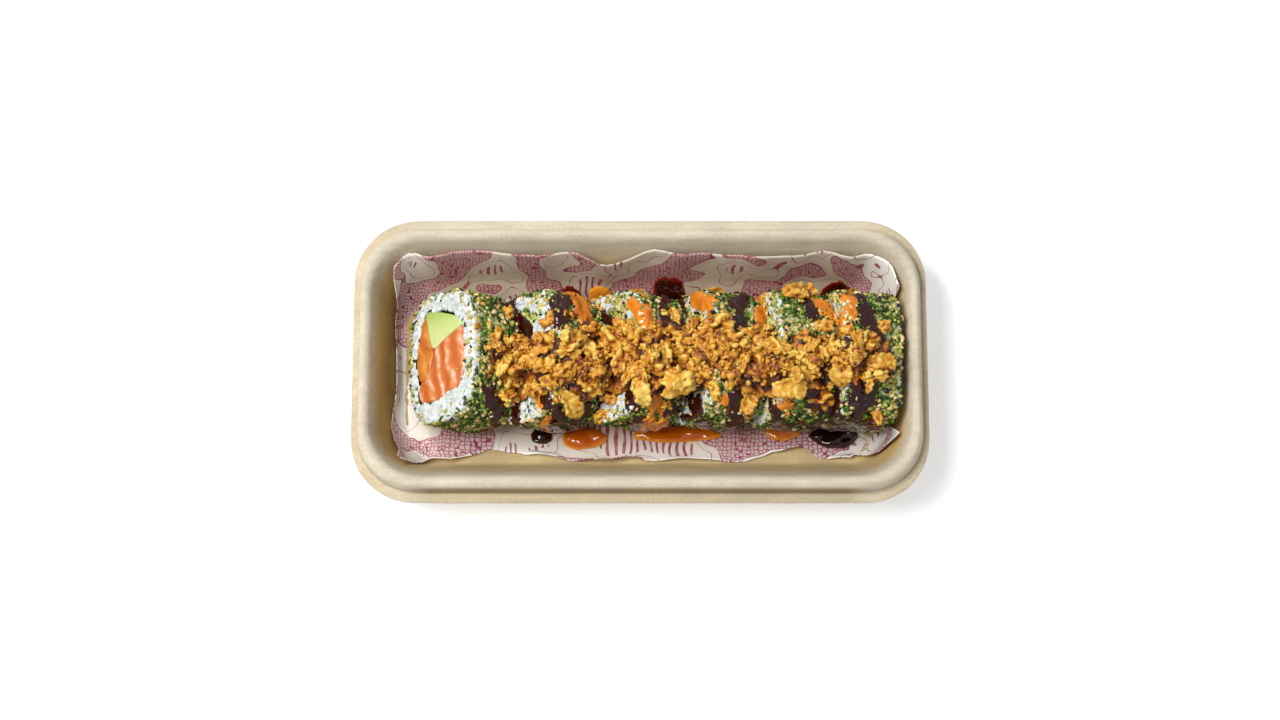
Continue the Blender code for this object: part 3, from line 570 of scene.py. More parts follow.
def slice_places():
    """Where each slice stands: its x runs through it, its y across it and its z up it."""
    places = []
    left_edge = FIRST_PIECE_X
    for number, degrees in enumerate(LEAN):
        lean = math.radians(degrees)
        foot = Vector((left_edge, ROLL_Y, REST_HEIGHT + PIECE_THICKNESS * math.sin(lean)))
        places.append(Matrix.Translation(foot) @ Matrix.Rotation(lean, 4, "Y"))
        if number + 1 < len(LEAN):
            following = math.radians(LEAN[number + 1])
            corner_x = PIECE_THICKNESS * math.cos(lean) + PIECE_HEIGHT * math.sin(lean)
            drop = PIECE_HEIGHT * math.cos(lean) * math.sin(following)
            rest = (PIECE_THICKNESS + PIECE_GAP - drop) / math.cos(following)
            left_edge += corner_x + rest - PIECE_THICKNESS * math.cos(following)
    return places


def section_point(angle, half_width, inset=0.0):
    """Point of a slice's squarish outline, as (across, up) from its lower edge."""
    across, up = math.cos(angle), math.sin(angle)
    half_height = PIECE_HEIGHT / 2
    reach = abs(across / (half_width - inset)) ** SQUARENESS + abs(up / (half_height - inset)) ** SQUARENESS
    radius = reach ** (-1 / SQUARENESS)
    return radius * across, half_height + radius * up


def smooth_outline(corners, count):
    """A closed curve through corners given as (up, across) in millimetres, as (across, up) in metres."""
    loop = [Vector((across * MM, up * MM)) for up, across in corners]
    curve = []
    for i in range(len(loop)):
        a, b, c, d = loop[i - 1], loop[i], loop[(i + 1) % len(loop)], loop[(i + 2) % len(loop)]
        for step in range(8):
            t = step / 8
            curve.append(0.5 * (2 * b + (c - a) * t + (2 * a - 5 * b + 4 * c - d) * t * t
                                + (3 * b - a - 3 * c + d) * t ** 3))
    lengths = [0.0]
    for here, there in zip(curve, curve[1:] + curve[:1]):
        lengths.append(lengths[-1] + (there - here).length)
    even = []
    k = 0
    for i in range(count):
        target = lengths[-1] * i / count
        while lengths[k + 1] < target:
            k += 1
        share = (target - lengths[k]) / (lengths[k + 1] - lengths[k])
        even.append(curve[k].lerp(curve[(k + 1) % len(curve)], share))
    return even


def ray_radius(outline, angle):
    """Distance from the slice's centre to a closed outline in one direction."""
    centre = Vector((0, PIECE_HEIGHT / 2))
    way = Vector((math.cos(angle), math.sin(angle)))
    best = 0.0
    for start, end in zip(outline, outline[1:] + outline[:1]):
        a = start - centre
        side = end - start
        across = way.cross(side)
        if abs(across) < 1e-12:
            continue
        share = a.cross(way) / across
        if -1e-6 <= share <= 1 + 1e-6:
            best = max(best, a.cross(side) / across)
    return best


def coat_place(number, through, angle):
    """Place on a slice's coated side and the direction that leaves it, in the slice's own axes."""
    half_width = PIECE_WIDTH[number] * MM / 2
    across, up = section_point(angle, half_width)
    before = section_point(angle - 0.02, half_width)
    after = section_point(angle + 0.02, half_width)
    away = Vector((0, after[1] - before[1], before[0] - after[0])).normalized()
    pull = 1 - UNEVEN
    return Vector((through, across * pull, PIECE_HEIGHT / 2 + (up - PIECE_HEIGHT / 2) * pull)), away


def around_shares(number):
    """Angles spread so that equal shares of a slice's side lie between them."""
    half_width = PIECE_WIDTH[number] * MM / 2
    angles = [2 * math.pi * i / 240 for i in range(241)]
    walked = [0.0]
    for before, after in zip(angles, angles[1:]):
        step = Vector(section_point(after, half_width)) - Vector(section_point(before, half_width))
        walked.append(walked[-1] + step.length)
    return angles, [w / walked[-1] for w in walked]


def joined_copies(name, shapes, placed):
    """One mesh of many copies of a few small shapes: placed holds (shape number, 4 by 4 matrix, tone)."""
    kinds = []
    for shape in shapes:
        points = np.empty(len(shape.data.vertices) * 3)
        shape.data.vertices.foreach_get("co", points)
        relief = np.zeros(len(shape.data.vertices))
        if "relief" in shape.data.attributes:
            shape.data.attributes["relief"].data.foreach_get("value", relief)
        kinds.append((points.reshape(-1, 3), [tuple(face.vertices) for face in shape.data.polygons], relief))
    verts, faces, tones = [], [], []
    start = 0
    for kind, matrix, tone in placed:
        points, polygons, relief = kinds[kind]
        turn = np.array(matrix)
        verts.append(points @ turn[:3, :3].T + turn[:3, 3])
        faces += [tuple(start + i for i in polygon) for polygon in polygons]
        tones.append(relief + tone)
        start += len(points)
    mesh = bpy.data.meshes.new(name)
    mesh.from_pydata(np.concatenate(verts).tolist(), [], faces)
    mesh.attributes.new("tone", "FLOAT", "POINT").data.foreach_set("value", np.concatenate(tones))
    mesh.shade_smooth()
    obj = bpy.data.objects.new(name, mesh)
    bpy.context.scene.collection.objects.link(obj)
    return obj


def lumpy_shape(name, subdivisions, size, roughness, seed):
    """A small closed lump: an icosphere pushed in and out by smooth noise, to model copies from."""
    bpy.ops.mesh.primitive_ico_sphere_add(subdivisions=subdivisions, radius=1.0)
    lump = bpy.context.object
    lump.name = name
    shift = Vector((seed * 3.7, seed * 1.3, seed * 2.9))
    for vert in lump.data.vertices:
        push = 1 + roughness * noise.noise(vert.co * 1.3 + shift)
        push += roughness * 0.5 * noise.noise(vert.co * 3 - shift)
        vert.co = Vector((vert.co.x * size[0], vert.co.y * size[1], vert.co.z * size[2])) * push * MM
    bpy.context.scene.collection.objects.unlink(lump)
    return lump


def lie_on(point, away, spin, tilt=0.0, stretch=1.0):
    """Matrix that lays a shape's flat side on a surface."""
    lie = away.to_track_quat("Z", "Y").to_matrix().to_4x4()
    turn = Matrix.Rotation(spin, 4, "Z") @ Matrix.Rotation(tilt, 4, "Y")
    return Matrix.Translation(point) @ lie @ turn @ Matrix.Scale(stretch, 4)


slices = slice_places()
angles = [2 * math.pi * i / RICE_STATIONS for i in range(RICE_STATIONS)]
filling_edge = smooth_outline(WRAP, 120)
# The rice has drawn back a little from the nori along the avocado's back
hole_reach = []
for angle in angles:
    from_back = math.remainder(angle, 2 * math.pi) - 0.2
    drawn_back = max(0.0, math.cos(1.9 * from_back)) if abs(from_back) <= 0.82 else 0.0
    hole_reach.append(ray_radius(filling_edge, angle) + (0.38 + 0.55 * drawn_back) * MM)
grain_shapes = [lumpy_shape(f"grain_{k}", 2, GRAIN, 0.10, k) for k in range(3)]
# A slice's profile, from the middle of its side round its back, through the hole and back over its cut face
T = PIECE_THICKNESS
rounding = [(math.sin(turn * math.pi / 2), math.cos(turn * math.pi / 2)) for turn in (0.0, 0.4, 0.8)]
profile = [("side", through) for through in (T * 0.5, T * 0.62, T * 0.74, T * 0.86)]
profile += [("round", T - EDGE_ROUND + EDGE_ROUND * rise, share) for rise, share in rounding]
profile += [("face", T, share) for share in (0.0, 0.2, 0.4, 0.6, 0.8, 1.0)]
profile += [("hole", through) for through in (T * 0.8, T * 0.2)]
profile += [("face", 0.0, share) for share in (1.0, 0.86, 0.72, 0.58, 0.44, 0.3, 0.15, 0.0)]
profile += [("round", EDGE_ROUND - EDGE_ROUND * rise, share) for rise, share in reversed(rounding)]
profile += [("side", through) for through in (T * 0.14, T * 0.26, T * 0.38)]

# Cooked rice: white, moist and a little see-through
rice_finish, rice_shader = new_material("pressed rice", Roughness=0.4, Specular_IOR_Level=0.4,
                                        Subsurface_Weight=0.25, Subsurface_Radius=(1.0, 0.9, 0.8),
                                        Subsurface_Scale=1.2 * MM)
grainy = speckled(rice_finish, object_place(rice_finish), 420.0, 3.0)
starch = ramped(rice_finish, grainy, (0.3, "#B4BCBA"), (0.62, "#E0E3DD"))
feed(rice_finish, starch, rice_shader.inputs["Base Color"])
roughened(rice_finish, rice_shader, grainy, 0.35, 0.4)

# Rice under the coat: stained green by the herbs' fine dust, and mottled nearly black as painted shade in
# the gaps between the crumbs
under_finish, under_shader = new_material("rice under the coat", Roughness=0.45)
place = object_place(under_finish)
dust = speckled(under_finish, place, 620.0, 4.0)
herb_stain_and_shade = sums(under_finish, "ADD", dust, speckled(under_finish, place, 120.0))
herb_stain_and_shade = sums(under_finish, "SUBTRACT", herb_stain_and_shade, 0.5)
herby = ramped(under_finish, herb_stain_and_shade, (0.34, "#28360C"), (0.45, "#64762A"), (0.54, "#AAB070"),
               (0.68, "#BCC29A"))
feed(under_finish, herby, under_shader.inputs["Base Color"])
roughened(under_finish, under_shader, dust, 0.6, 0.5)

rice_chance = random.Random(21)
for number, place in enumerate(slices):
    bpy.ops.mesh.primitive_torus_add(major_segments=RICE_STATIONS, minor_segments=len(profile),
                                     major_radius=0.02, minor_radius=0.005)
    rice = bpy.context.object
    half_width = PIECE_WIDTH[number] * MM / 2
    for i, angle in enumerate(angles):
        for j, station in enumerate(profile):
            kind, through = station[0], station[1]
            row = round(4 * through / T)
            ripple = math.sin(3 * angle + number + 1) + math.sin(7 * angle + 2.3 * (number + 1) + 1.1 * row)
            pull = 1 - UNEVEN * (1 + ripple / 2)
            inset = 0.0
            if kind == "round":
                inset = EDGE_ROUND * (1 - station[2])
            elif kind == "face":
                inset = EDGE_ROUND
            across, up = section_point(angle, half_width, inset)
            across, up = across * pull, (up - PIECE_HEIGHT / 2) * pull
            if kind == "hole":
                across, up = hole_reach[i] * math.cos(angle), hole_reach[i] * math.sin(angle)
            elif kind == "face":
                inner = Vector((hole_reach[i] * math.cos(angle), hole_reach[i] * math.sin(angle)))
                across, up = Vector((across, up)).lerp(inner, station[2])
            point = Vector((through, across, PIECE_HEIGHT / 2 + up))
            bump = noise.noise(point * 420 + Vector((number * 7, 0, 0))) * 0.55 * MM
            if kind == "face":
                point.x += -bump if through == 0 else bump
            elif kind != "hole":
                point += Vector((0, across, up)).normalized() * bump
            rice.data.vertices[i * len(profile) + j].co = place @ point
    placed = []
    for side, count in ((0, FACE_GRAINS), (1, BACK_GRAINS)):
        kept = 0
        while kept < count:
            angle = rice_chance.uniform(0, 2 * math.pi)
            i = int(angle / (2 * math.pi) * RICE_STATIONS) % RICE_STATIONS
            outline = Vector(section_point(angle, half_width, EDGE_ROUND)) - Vector((0, PIECE_HEIGHT / 2))
            reach = outline.length - 0.4 * MM
            radius = math.sqrt(rice_chance.uniform((hole_reach[i] + 0.1 * MM) ** 2, reach ** 2))
            if rice_chance.random() > (reach ** 2 - hole_reach[i] ** 2) / (500 * MM * MM):
                continue
            kept += 1
            across, up = radius * math.cos(angle), PIECE_HEIGHT / 2 + radius * math.sin(angle)
            away = Vector((1, 0, 0)) if side else Vector((-1, 0, 0))
            through = (T if side else 0.0) - away.x * rice_chance.uniform(0.35, 0.85) * MM
            spot = lie_on(Vector((through, across, up)), away, rice_chance.uniform(0, math.pi),
                          rice_chance.uniform(-0.25, 0.25), rice_chance.uniform(0.85, 1.1))
            placed.append((rice_chance.randrange(3), place @ spot, 0.5))
    for k in range(LOOSE_GRAINS if number == 1 else 0):
        spot = lie_on(Vector((-rice_chance.uniform(0.2, 1.0) * MM, rice_chance.uniform(2.0, 13.0) * MM,
                              rice_chance.uniform(24.0, 32.0) * MM)), Vector((-1, 0, 0)),
                      rice_chance.uniform(0, math.pi), rice_chance.uniform(-0.3, 0.3), 0.95)
        placed.append((rice_chance.randrange(3), place @ spot, 0.5))
    face_grains = joined_copies(f"grains_{number + 1}", grain_shapes, placed)
    face_grains.data.materials.append(rice_finish)
    placed = []
    side_angles, walked = around_shares(number)
    for k in range(SIDE_GRAINS):
        angle = float(np.interp(rice_chance.random(), walked, side_angles))
        through = rice_chance.uniform(0.04, 0.96) * T
        point, away = coat_place(number, through, angle)
        spot = lie_on(point - away * rice_chance.uniform(0.4, 0.9) * MM, away,
                      rice_chance.uniform(0, math.pi), rice_chance.uniform(-0.2, 0.2),
                      rice_chance.uniform(0.85, 1.05))
        placed.append((rice_chance.randrange(3), place @ spot, 0.5))
    side_grains = joined_copies(f"side_grains_{number + 1}", grain_shapes, placed)
    side_grains.data.materials.append(under_finish)
    rice.name = f"rice_slice_{number + 1}"
    rice.data.materials.clear()
    rice.data.materials.append(rice_finish)
    rice.data.materials.append(under_finish)
    back = place.inverted()
    coated = [BARE_RIM[number] * MM < (back @ vert.co).x < T - BARE_BACK * MM for vert in rice.data.vertices]
    for face in rice.data.polygons:
        if all(coated[i] for i in face.vertices):
            face.material_index = 1
    select_only(rice)
    bpy.ops.object.shade_smooth()
    face_grains.select_set(True)
    side_grains.select_set(True)
    bpy.ops.object.join()
    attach(rice, "root")
    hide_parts(f"rice_{number + 1}")


# Filling
# At each cut, inside a ring of nori, lie a thick strip of raw salmon, a thinner and darker one from the edge
# of the fillet below it, and a wedge of avocado. The rice presses them together.
AVOCADO = ((8.9, 18.7), (11.9, 19.1), (17.7, 17.9), (24.4, 15.8), (28.9, 13.4), (30.8, 11.3),
           (27.8, 9.9), (20.4, 7.0), (14.5, 3.9), (13.1, 4.5), (11.5, 8.5))
SALMON = ((14.2, 3.2), (20.6, 6.5), (28.0, 9.3), (30.9, 10.6), (31.9, 6.5), (32.9, 0.0), (31.5, -8.0),
          (29.2, -13.4), (23.4, -14.0), (19.6, -16.4), (7.6, -16.9), (5.7, -12.6), (6.7, -8.6), (12.4, -5.0))
SALMON_EDGE = ((8.5, 17.8), (11.1, 8.6), (12.7, 4.3), (13.8, 3.2), (12.0, -5.0), (6.4, -8.2), (4.4, -2.6),
               (4.6, 3.9), (6.1, 10.8))
FILLING_STATIONS = 96
# The strips press a little into each other and into the nori
FILLING_GROWTH = 1.035


def even_outline(corners, count):
    """Points at even steps on straight lines between corners given as (up, across) in millimetres."""
    loop = [Vector((across * MM, up * MM)) for up, across in corners]
    sides = [(b - a).length for a, b in zip(loop, loop[1:] + loop[:1])]
    points = []
    for i in range(count):
        target = sum(sides) * i / count
        k = 0
        while target > sides[k]:
            target -= sides[k]
            k += 1
        points.append(loop[k].lerp(loop[(k + 1) % len(loop)], target / sides[k]))
    return points


def closed_loft(name, rings, top, bottom):
    """A sphere whose rings are set to the given ones, from its top to its bottom."""
    around = len(rings[0])
    bpy.ops.mesh.primitive_uv_sphere_add(segments=around, ring_count=len(rings) + 1, radius=1.0)
    body = bpy.context.object
    body.name = name
    for vert in body.data.vertices:
        level = round(math.acos(max(-1.0, min(1.0, vert.co.z))) / math.pi * (len(rings) + 1))
        if level == 0:
            vert.co = top
        elif level == len(rings) + 1:
            vert.co = bottom
        else:
            station = round(math.atan2(vert.co.y, vert.co.x) / (2 * math.pi) * around) % around
            vert.co = rings[level - 1][station]
    return body


def filling_strip(name, corners, place, number, relief):
    """One strip of filling through a slice, its cut edges softened, with its pattern's place in a map."""
    outline = even_outline(corners, FILLING_STATIONS)
    centre = sum(outline, Vector((0, 0))) / len(outline)
    rounded = []
    for i in range(FILLING_STATIONS):
        near = [outline[(i + k) % FILLING_STATIONS] for k in (-2, -1, 0, 1, 2)]
        rounded.append(sum(near, Vector((0, 0))) / 5)
    levels = [(T + 0.15 * MM, share) for share in (0.12, 0.25, 0.4, 0.55, 0.7, 0.82, 0.92)]
    levels += [(T - 0.1 * MM, 0.98), (T - 0.8 * MM, 1.0), (T / 2, 1.0), (0.8 * MM, 1.0), (0.1 * MM, 0.98)]
    levels += [(-0.15 * MM, share) for share in (0.92, 0.82, 0.7, 0.55, 0.4, 0.25, 0.12)]
    rings = []
    for through, share in levels:
        ring = []
        for corner in rounded:
            spot = centre.lerp(corner, share * FILLING_GROWTH)
            point = Vector((through, spot.x, spot.y))
            if through < 0 or through > T:
                height = relief(spot.x / MM, spot.y / MM, number) * MM
                point.x += height if through > T else -height
            ring.append(point)
        rings.append(ring)
    ends = [Vector((through, centre.x, centre.y)) for through in (T + 0.15 * MM, -0.15 * MM)]
    strip = closed_loft(name, rings, *ends)
    pattern = strip.data.uv_layers.new(name="section")
    for loop in strip.data.loops:
        point = strip.data.vertices[loop.vertex_index].co
        slant = point.z + 0.26 * point.y
        along = slant / MM + 50 * number + 0.3 * point.x / MM
        pattern.data[loop.index].uv = (along / 10, point.y / MM / 10)
    strip.data.transform(place)
    select_only(strip)
    bpy.ops.object.shade_smooth()
    return strip


def flesh_relief(across, up, number):
    """Rise of a salmon strip's cut face, in millimetres: soft muscle folds."""
    folds = 0.18 * math.sin((up + 0.26 * across) * 1.2 + number)
    return folds + 0.3 * noise.noise(Vector((across, up, number)) * 0.35)


def butter_relief(across, up, number):
    """Rise of the avocado's cut face, in millimetres: a faint drag of the knife."""
    return 0.12 * noise.noise(Vector((across * 0.2, up * 0.9, number)))


# Raw salmon: moist orange muscle between soft white bands of fat
salmon_finish, salmon_shader = new_material("salmon", Roughness=0.24, Specular_IOR_Level=0.55,
                                            Subsurface_Weight=0.2, Subsurface_Radius=(1.0, 0.35, 0.2),
                                            Subsurface_Scale=1.0 * MM)
cut = add_node(salmon_finish, "ShaderNodeUVMap", {"uv_map": "section"}).outputs[0]
muscle = add_node(salmon_finish, "ShaderNodeTexWave", {"bands_direction": "X", "wave_profile": "SIN"},
                  Vector=cut, Scale=0.46, Distortion=4.2, Detail=3.0, Detail_Scale=1.5)
patchy = faded(salmon_finish, speckled(salmon_finish, cut, 3.2, 3.0), 0.35, 0.65, 0.5, 1.05)
banded = sums(salmon_finish, "MULTIPLY", muscle.outputs["Fac"], patchy)
fat = ramped(salmon_finish, banded, (0.0, "#C0642E"), (0.3, "#CE7038"), (0.62, "#D98A58"), (0.82, "#E5AC88"),
             (1.0, "#EFC8AC"))
feed(salmon_finish, fat, salmon_shader.inputs["Base Color"])
roughened(salmon_finish, salmon_shader, speckled(salmon_finish, cut, 9.0, 3.0), 0.4, 0.5)

# The fillet's edge: wetter, and amber where it lay against the skin
amber_finish, amber_shader = new_material("salmon edge", Roughness=0.18, Specular_IOR_Level=0.6)
cut = add_node(amber_finish, "ShaderNodeUVMap", {"uv_map": "section"}).outputs[0]
marbled = speckled(amber_finish, cut, 1.6, 3.0)
amber = ramped(amber_finish, marbled, (0.35, "#B4581A"), (0.68, "#DA9342"))
feed(amber_finish, amber, amber_shader.inputs["Base Color"])
roughened(amber_finish, amber_shader, marbled, 0.6, 0.8)

# Ripe avocado: butter yellow by the stone, greener towards the skin
avocado_finish, avocado_shader = new_material("avocado", Roughness=0.42, Specular_IOR_Level=0.45)
cut = add_node(avocado_finish, "ShaderNodeUVMap", {"uv_map": "section"}).outputs[0]
sides = add_node(avocado_finish, "ShaderNodeSeparateXYZ", Vector=cut)
to_skin = faded(avocado_finish, sides.outputs["Y"], 0.35, 1.95)
flesh = ramped(avocado_finish, to_skin, (0.0, "#D2D69A"), (0.6, "#BFCE7C"), (1.0, "#94B24E"))
feed(avocado_finish, flesh, avocado_shader.inputs["Base Color"])

# Toasted seaweed: nearly black and finely wrinkled
nori_finish, nori_shader = new_material("nori", Base_Color=linear("#15180F"), Roughness=0.5)
roughened(nori_finish, nori_shader, speckled(nori_finish, object_place(nori_finish), 900.0), 0.5, 0.2)

for number, place in enumerate(slices):
    for stem, corners, finish, relief in (("salmon", SALMON, salmon_finish, flesh_relief),
                                          ("salmon_edge", SALMON_EDGE, amber_finish, flesh_relief),
                                          ("avocado", AVOCADO, avocado_finish, butter_relief)):
        strip = filling_strip(f"{stem}_strip_{number + 1}", corners, place, number, relief)
        strip.data.materials.append(finish)
        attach(strip, "root")
        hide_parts(f"{stem}_{number + 1}")
    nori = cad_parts[f"nori_{number + 1}"]
    nori.data.materials.clear()
    nori.data.materials.append(nori_finish)


# Coat
# The outside of the roll is turned in chopped green herbs, pale toasted crumbs and white and black sesame,
# which stick to the rice; a few fall over on to the cut faces.
CRUMBS = 600
HERBS = 1450
TOASTED_SESAME = 46
BLACK_SESAME = 20
SPILL_CRUMBS = 260
SPILL_HERBS = 190
# Share of the spilled bits that lie on each slice's cut face; the first one is nearly clean
SPILL_SHARES = (0.14, 0.75, 1.15, 1.0, 1.1, 1.1)
SPILL_REACH = 11.0 * MM


def coat_piece(name, shapes, count, sink, spread, clump, finish, seed, reach=0.5):
    """Scatters one kind of topping over the sides of all slices, in clumps, as one mesh."""
    chance = random.Random(seed)
    placed = []
    for number, place in enumerate(slices):
        side_angles, walked = around_shares(number)
        kept = 0
        while kept < count:
            angle = float(np.interp(chance.random(), walked, side_angles))
            through = chance.uniform(-reach * MM, T + reach * MM)
            point, away = coat_place(number, through, angle)
            here = place @ point + Vector((seed * 0.04, 0, 0))
            thick = noise.noise(here * 130) + 0.7 * noise.noise(here * 330)
            if thick < chance.uniform(-clump, clump) - 0.08:
                continue
            if through < BARE_RIM[number] * chance.uniform(-1, 1) * MM:
                continue
            kept += 1
            if through < 0 or through > T:
                point -= away * chance.uniform(0.6, 2.6) * MM
            point += away * (chance.uniform(*sink) * MM)
            spot = lie_on(point, away, chance.uniform(0, math.pi), chance.uniform(-spread, spread),
                          chance.uniform(0.75, 1.2))
            placed.append((chance.randrange(len(shapes)), place @ spot, chance.random()))
    scattered = joined_copies(name, shapes, placed)
    scattered.data.materials.append(finish)
    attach(scattered, "root")
    return scattered


def spill_piece(name, shapes, count, finish, seed):
    """Scatters one kind of topping over the cut faces, thickest at their upper rims, as one mesh."""
    chance = random.Random(seed)
    placed = []
    for number, place in enumerate(slices):
        half_width = PIECE_WIDTH[number] * MM / 2
        for k in range(round(count * SPILL_SHARES[number])):
            angle = chance.uniform(-0.1, math.pi + 0.1) if number else chance.uniform(0, 2 * math.pi)
            if number and math.cos(angle) < 0 and chance.random() < 0.55:
                continue
            inwards = SPILL_REACH * chance.random() ** 2 * (1.0 if number else 0.4)
            across, up = section_point(angle, half_width, EDGE_ROUND)
            rim = Vector((across, up - PIECE_HEIGHT / 2))
            rim -= rim.normalized() * inwards
            point = Vector((-chance.uniform(0.1, 0.55) * MM, rim.x, PIECE_HEIGHT / 2 + rim.y))
            spot = lie_on(point, Vector((-1, 0, 0)), chance.uniform(0, math.pi), chance.uniform(-0.6, 0.6),
                          chance.uniform(0.7, 1.15))
            placed.append((chance.randrange(len(shapes)), place @ spot, chance.random()))
    scattered = joined_copies(name, shapes, placed)
    scattered.data.materials.append(finish)
    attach(scattered, "root")


def toned_material(name, colours, roughness, speckle, scale=600.0):
    """A material whose colour runs with each copy's tone, broken up by a little noise."""
    finish, shader = new_material(name, Roughness=roughness)
    tone = add_node(finish, "ShaderNodeAttribute", {"attribute_name": "tone"})
    grit = speckled(finish, object_place(finish), scale, 3.0)
    uneven = sums(finish, "MULTIPLY_ADD", sums(finish, "SUBTRACT", grit, 0.5), speckle, tone.outputs["Fac"])
    feed(finish, ramped(finish, uneven, *colours), shader.inputs["Base Color"])
    roughened(finish, shader, grit, 0.8, 0.4)
    return finish


crumb_shapes = [lumpy_shape(f"crumb_{k}", 1, (1.15, 0.9, 0.65), 0.7, 10 + k) for k in range(5)]
herb_shapes = [lumpy_shape(f"herb_{k}", 1, (1.15, 0.7, 0.2), 0.7, 20 + k) for k in range(5)]
sesame_shapes = [lumpy_shape(f"sesame_{k}", 2, (1.5, 0.85, 0.55), 0.06, 30 + k) for k in range(2)]
for seed in sesame_shapes:
    for vert in seed.data.vertices:
        vert.co.y *= 1 - 0.28 * vert.co.x / (1.5 * MM)
crumb_finish = toned_material("toasted crumb", ((0.0, "#5E6A1E"), (0.3, "#9C983E"), (0.6, "#C4B05E"),
                                                (0.85, "#E4D090"), (1.0, "#D8B070")), 0.6, 0.3)
herb_finish = toned_material("chopped herb", ((0.0, "#0E1A08"), (0.4, "#2C4C0E"), (0.75, "#5C861A"),
                                              (1.0, "#98B234")), 0.5, 0.4)
toasted_finish = toned_material("toasted sesame", ((0.0, "#D09C58"), (1.0, "#EBD3A2")), 0.45, 0.2)
black_finish = toned_material("black sesame", ((0.0, "#0E0E14"), (1.0, "#22222A")), 0.35, 0.2)
coat_piece("coat_crumbs", crumb_shapes, CRUMBS, (-0.1, 0.5), 0.7, 0.45, crumb_finish, 3)
coat_piece("coat_herbs", herb_shapes, HERBS, (0.1, 0.75), 0.8, 0.45, herb_finish, 4)
coat_piece("coat_sesame", sesame_shapes, TOASTED_SESAME, (0.35, 0.75), 0.3, 0.5, toasted_finish, 5, 0.8)
coat_piece("coat_black_sesame", sesame_shapes, BLACK_SESAME, (0.45, 0.8), 0.3, 0.5, black_finish, 6, 0.8)
spill_piece("spilled_crumbs", crumb_shapes, SPILL_CRUMBS, crumb_finish, 7)
spill_piece("spilled_herbs", herb_shapes, SPILL_HERBS, herb_finish, 8)


# Sauces
# Sweet dark soy glaze and an orange chilli sauce, squeezed over the roll from side to side. They run down
# its sides in thick streams and lie in pools on the paper, held by nothing but their own thickness.
VOXEL = 0.45 * MM
# How a stream starts up the far side from the paper, and how it ends down the near side
DOWN_FAR_SIDE = ((27.4, 8), (27, 22))
DOWN_NEAR_SIDE = ((-24.8, 20), (-25.2, 7))
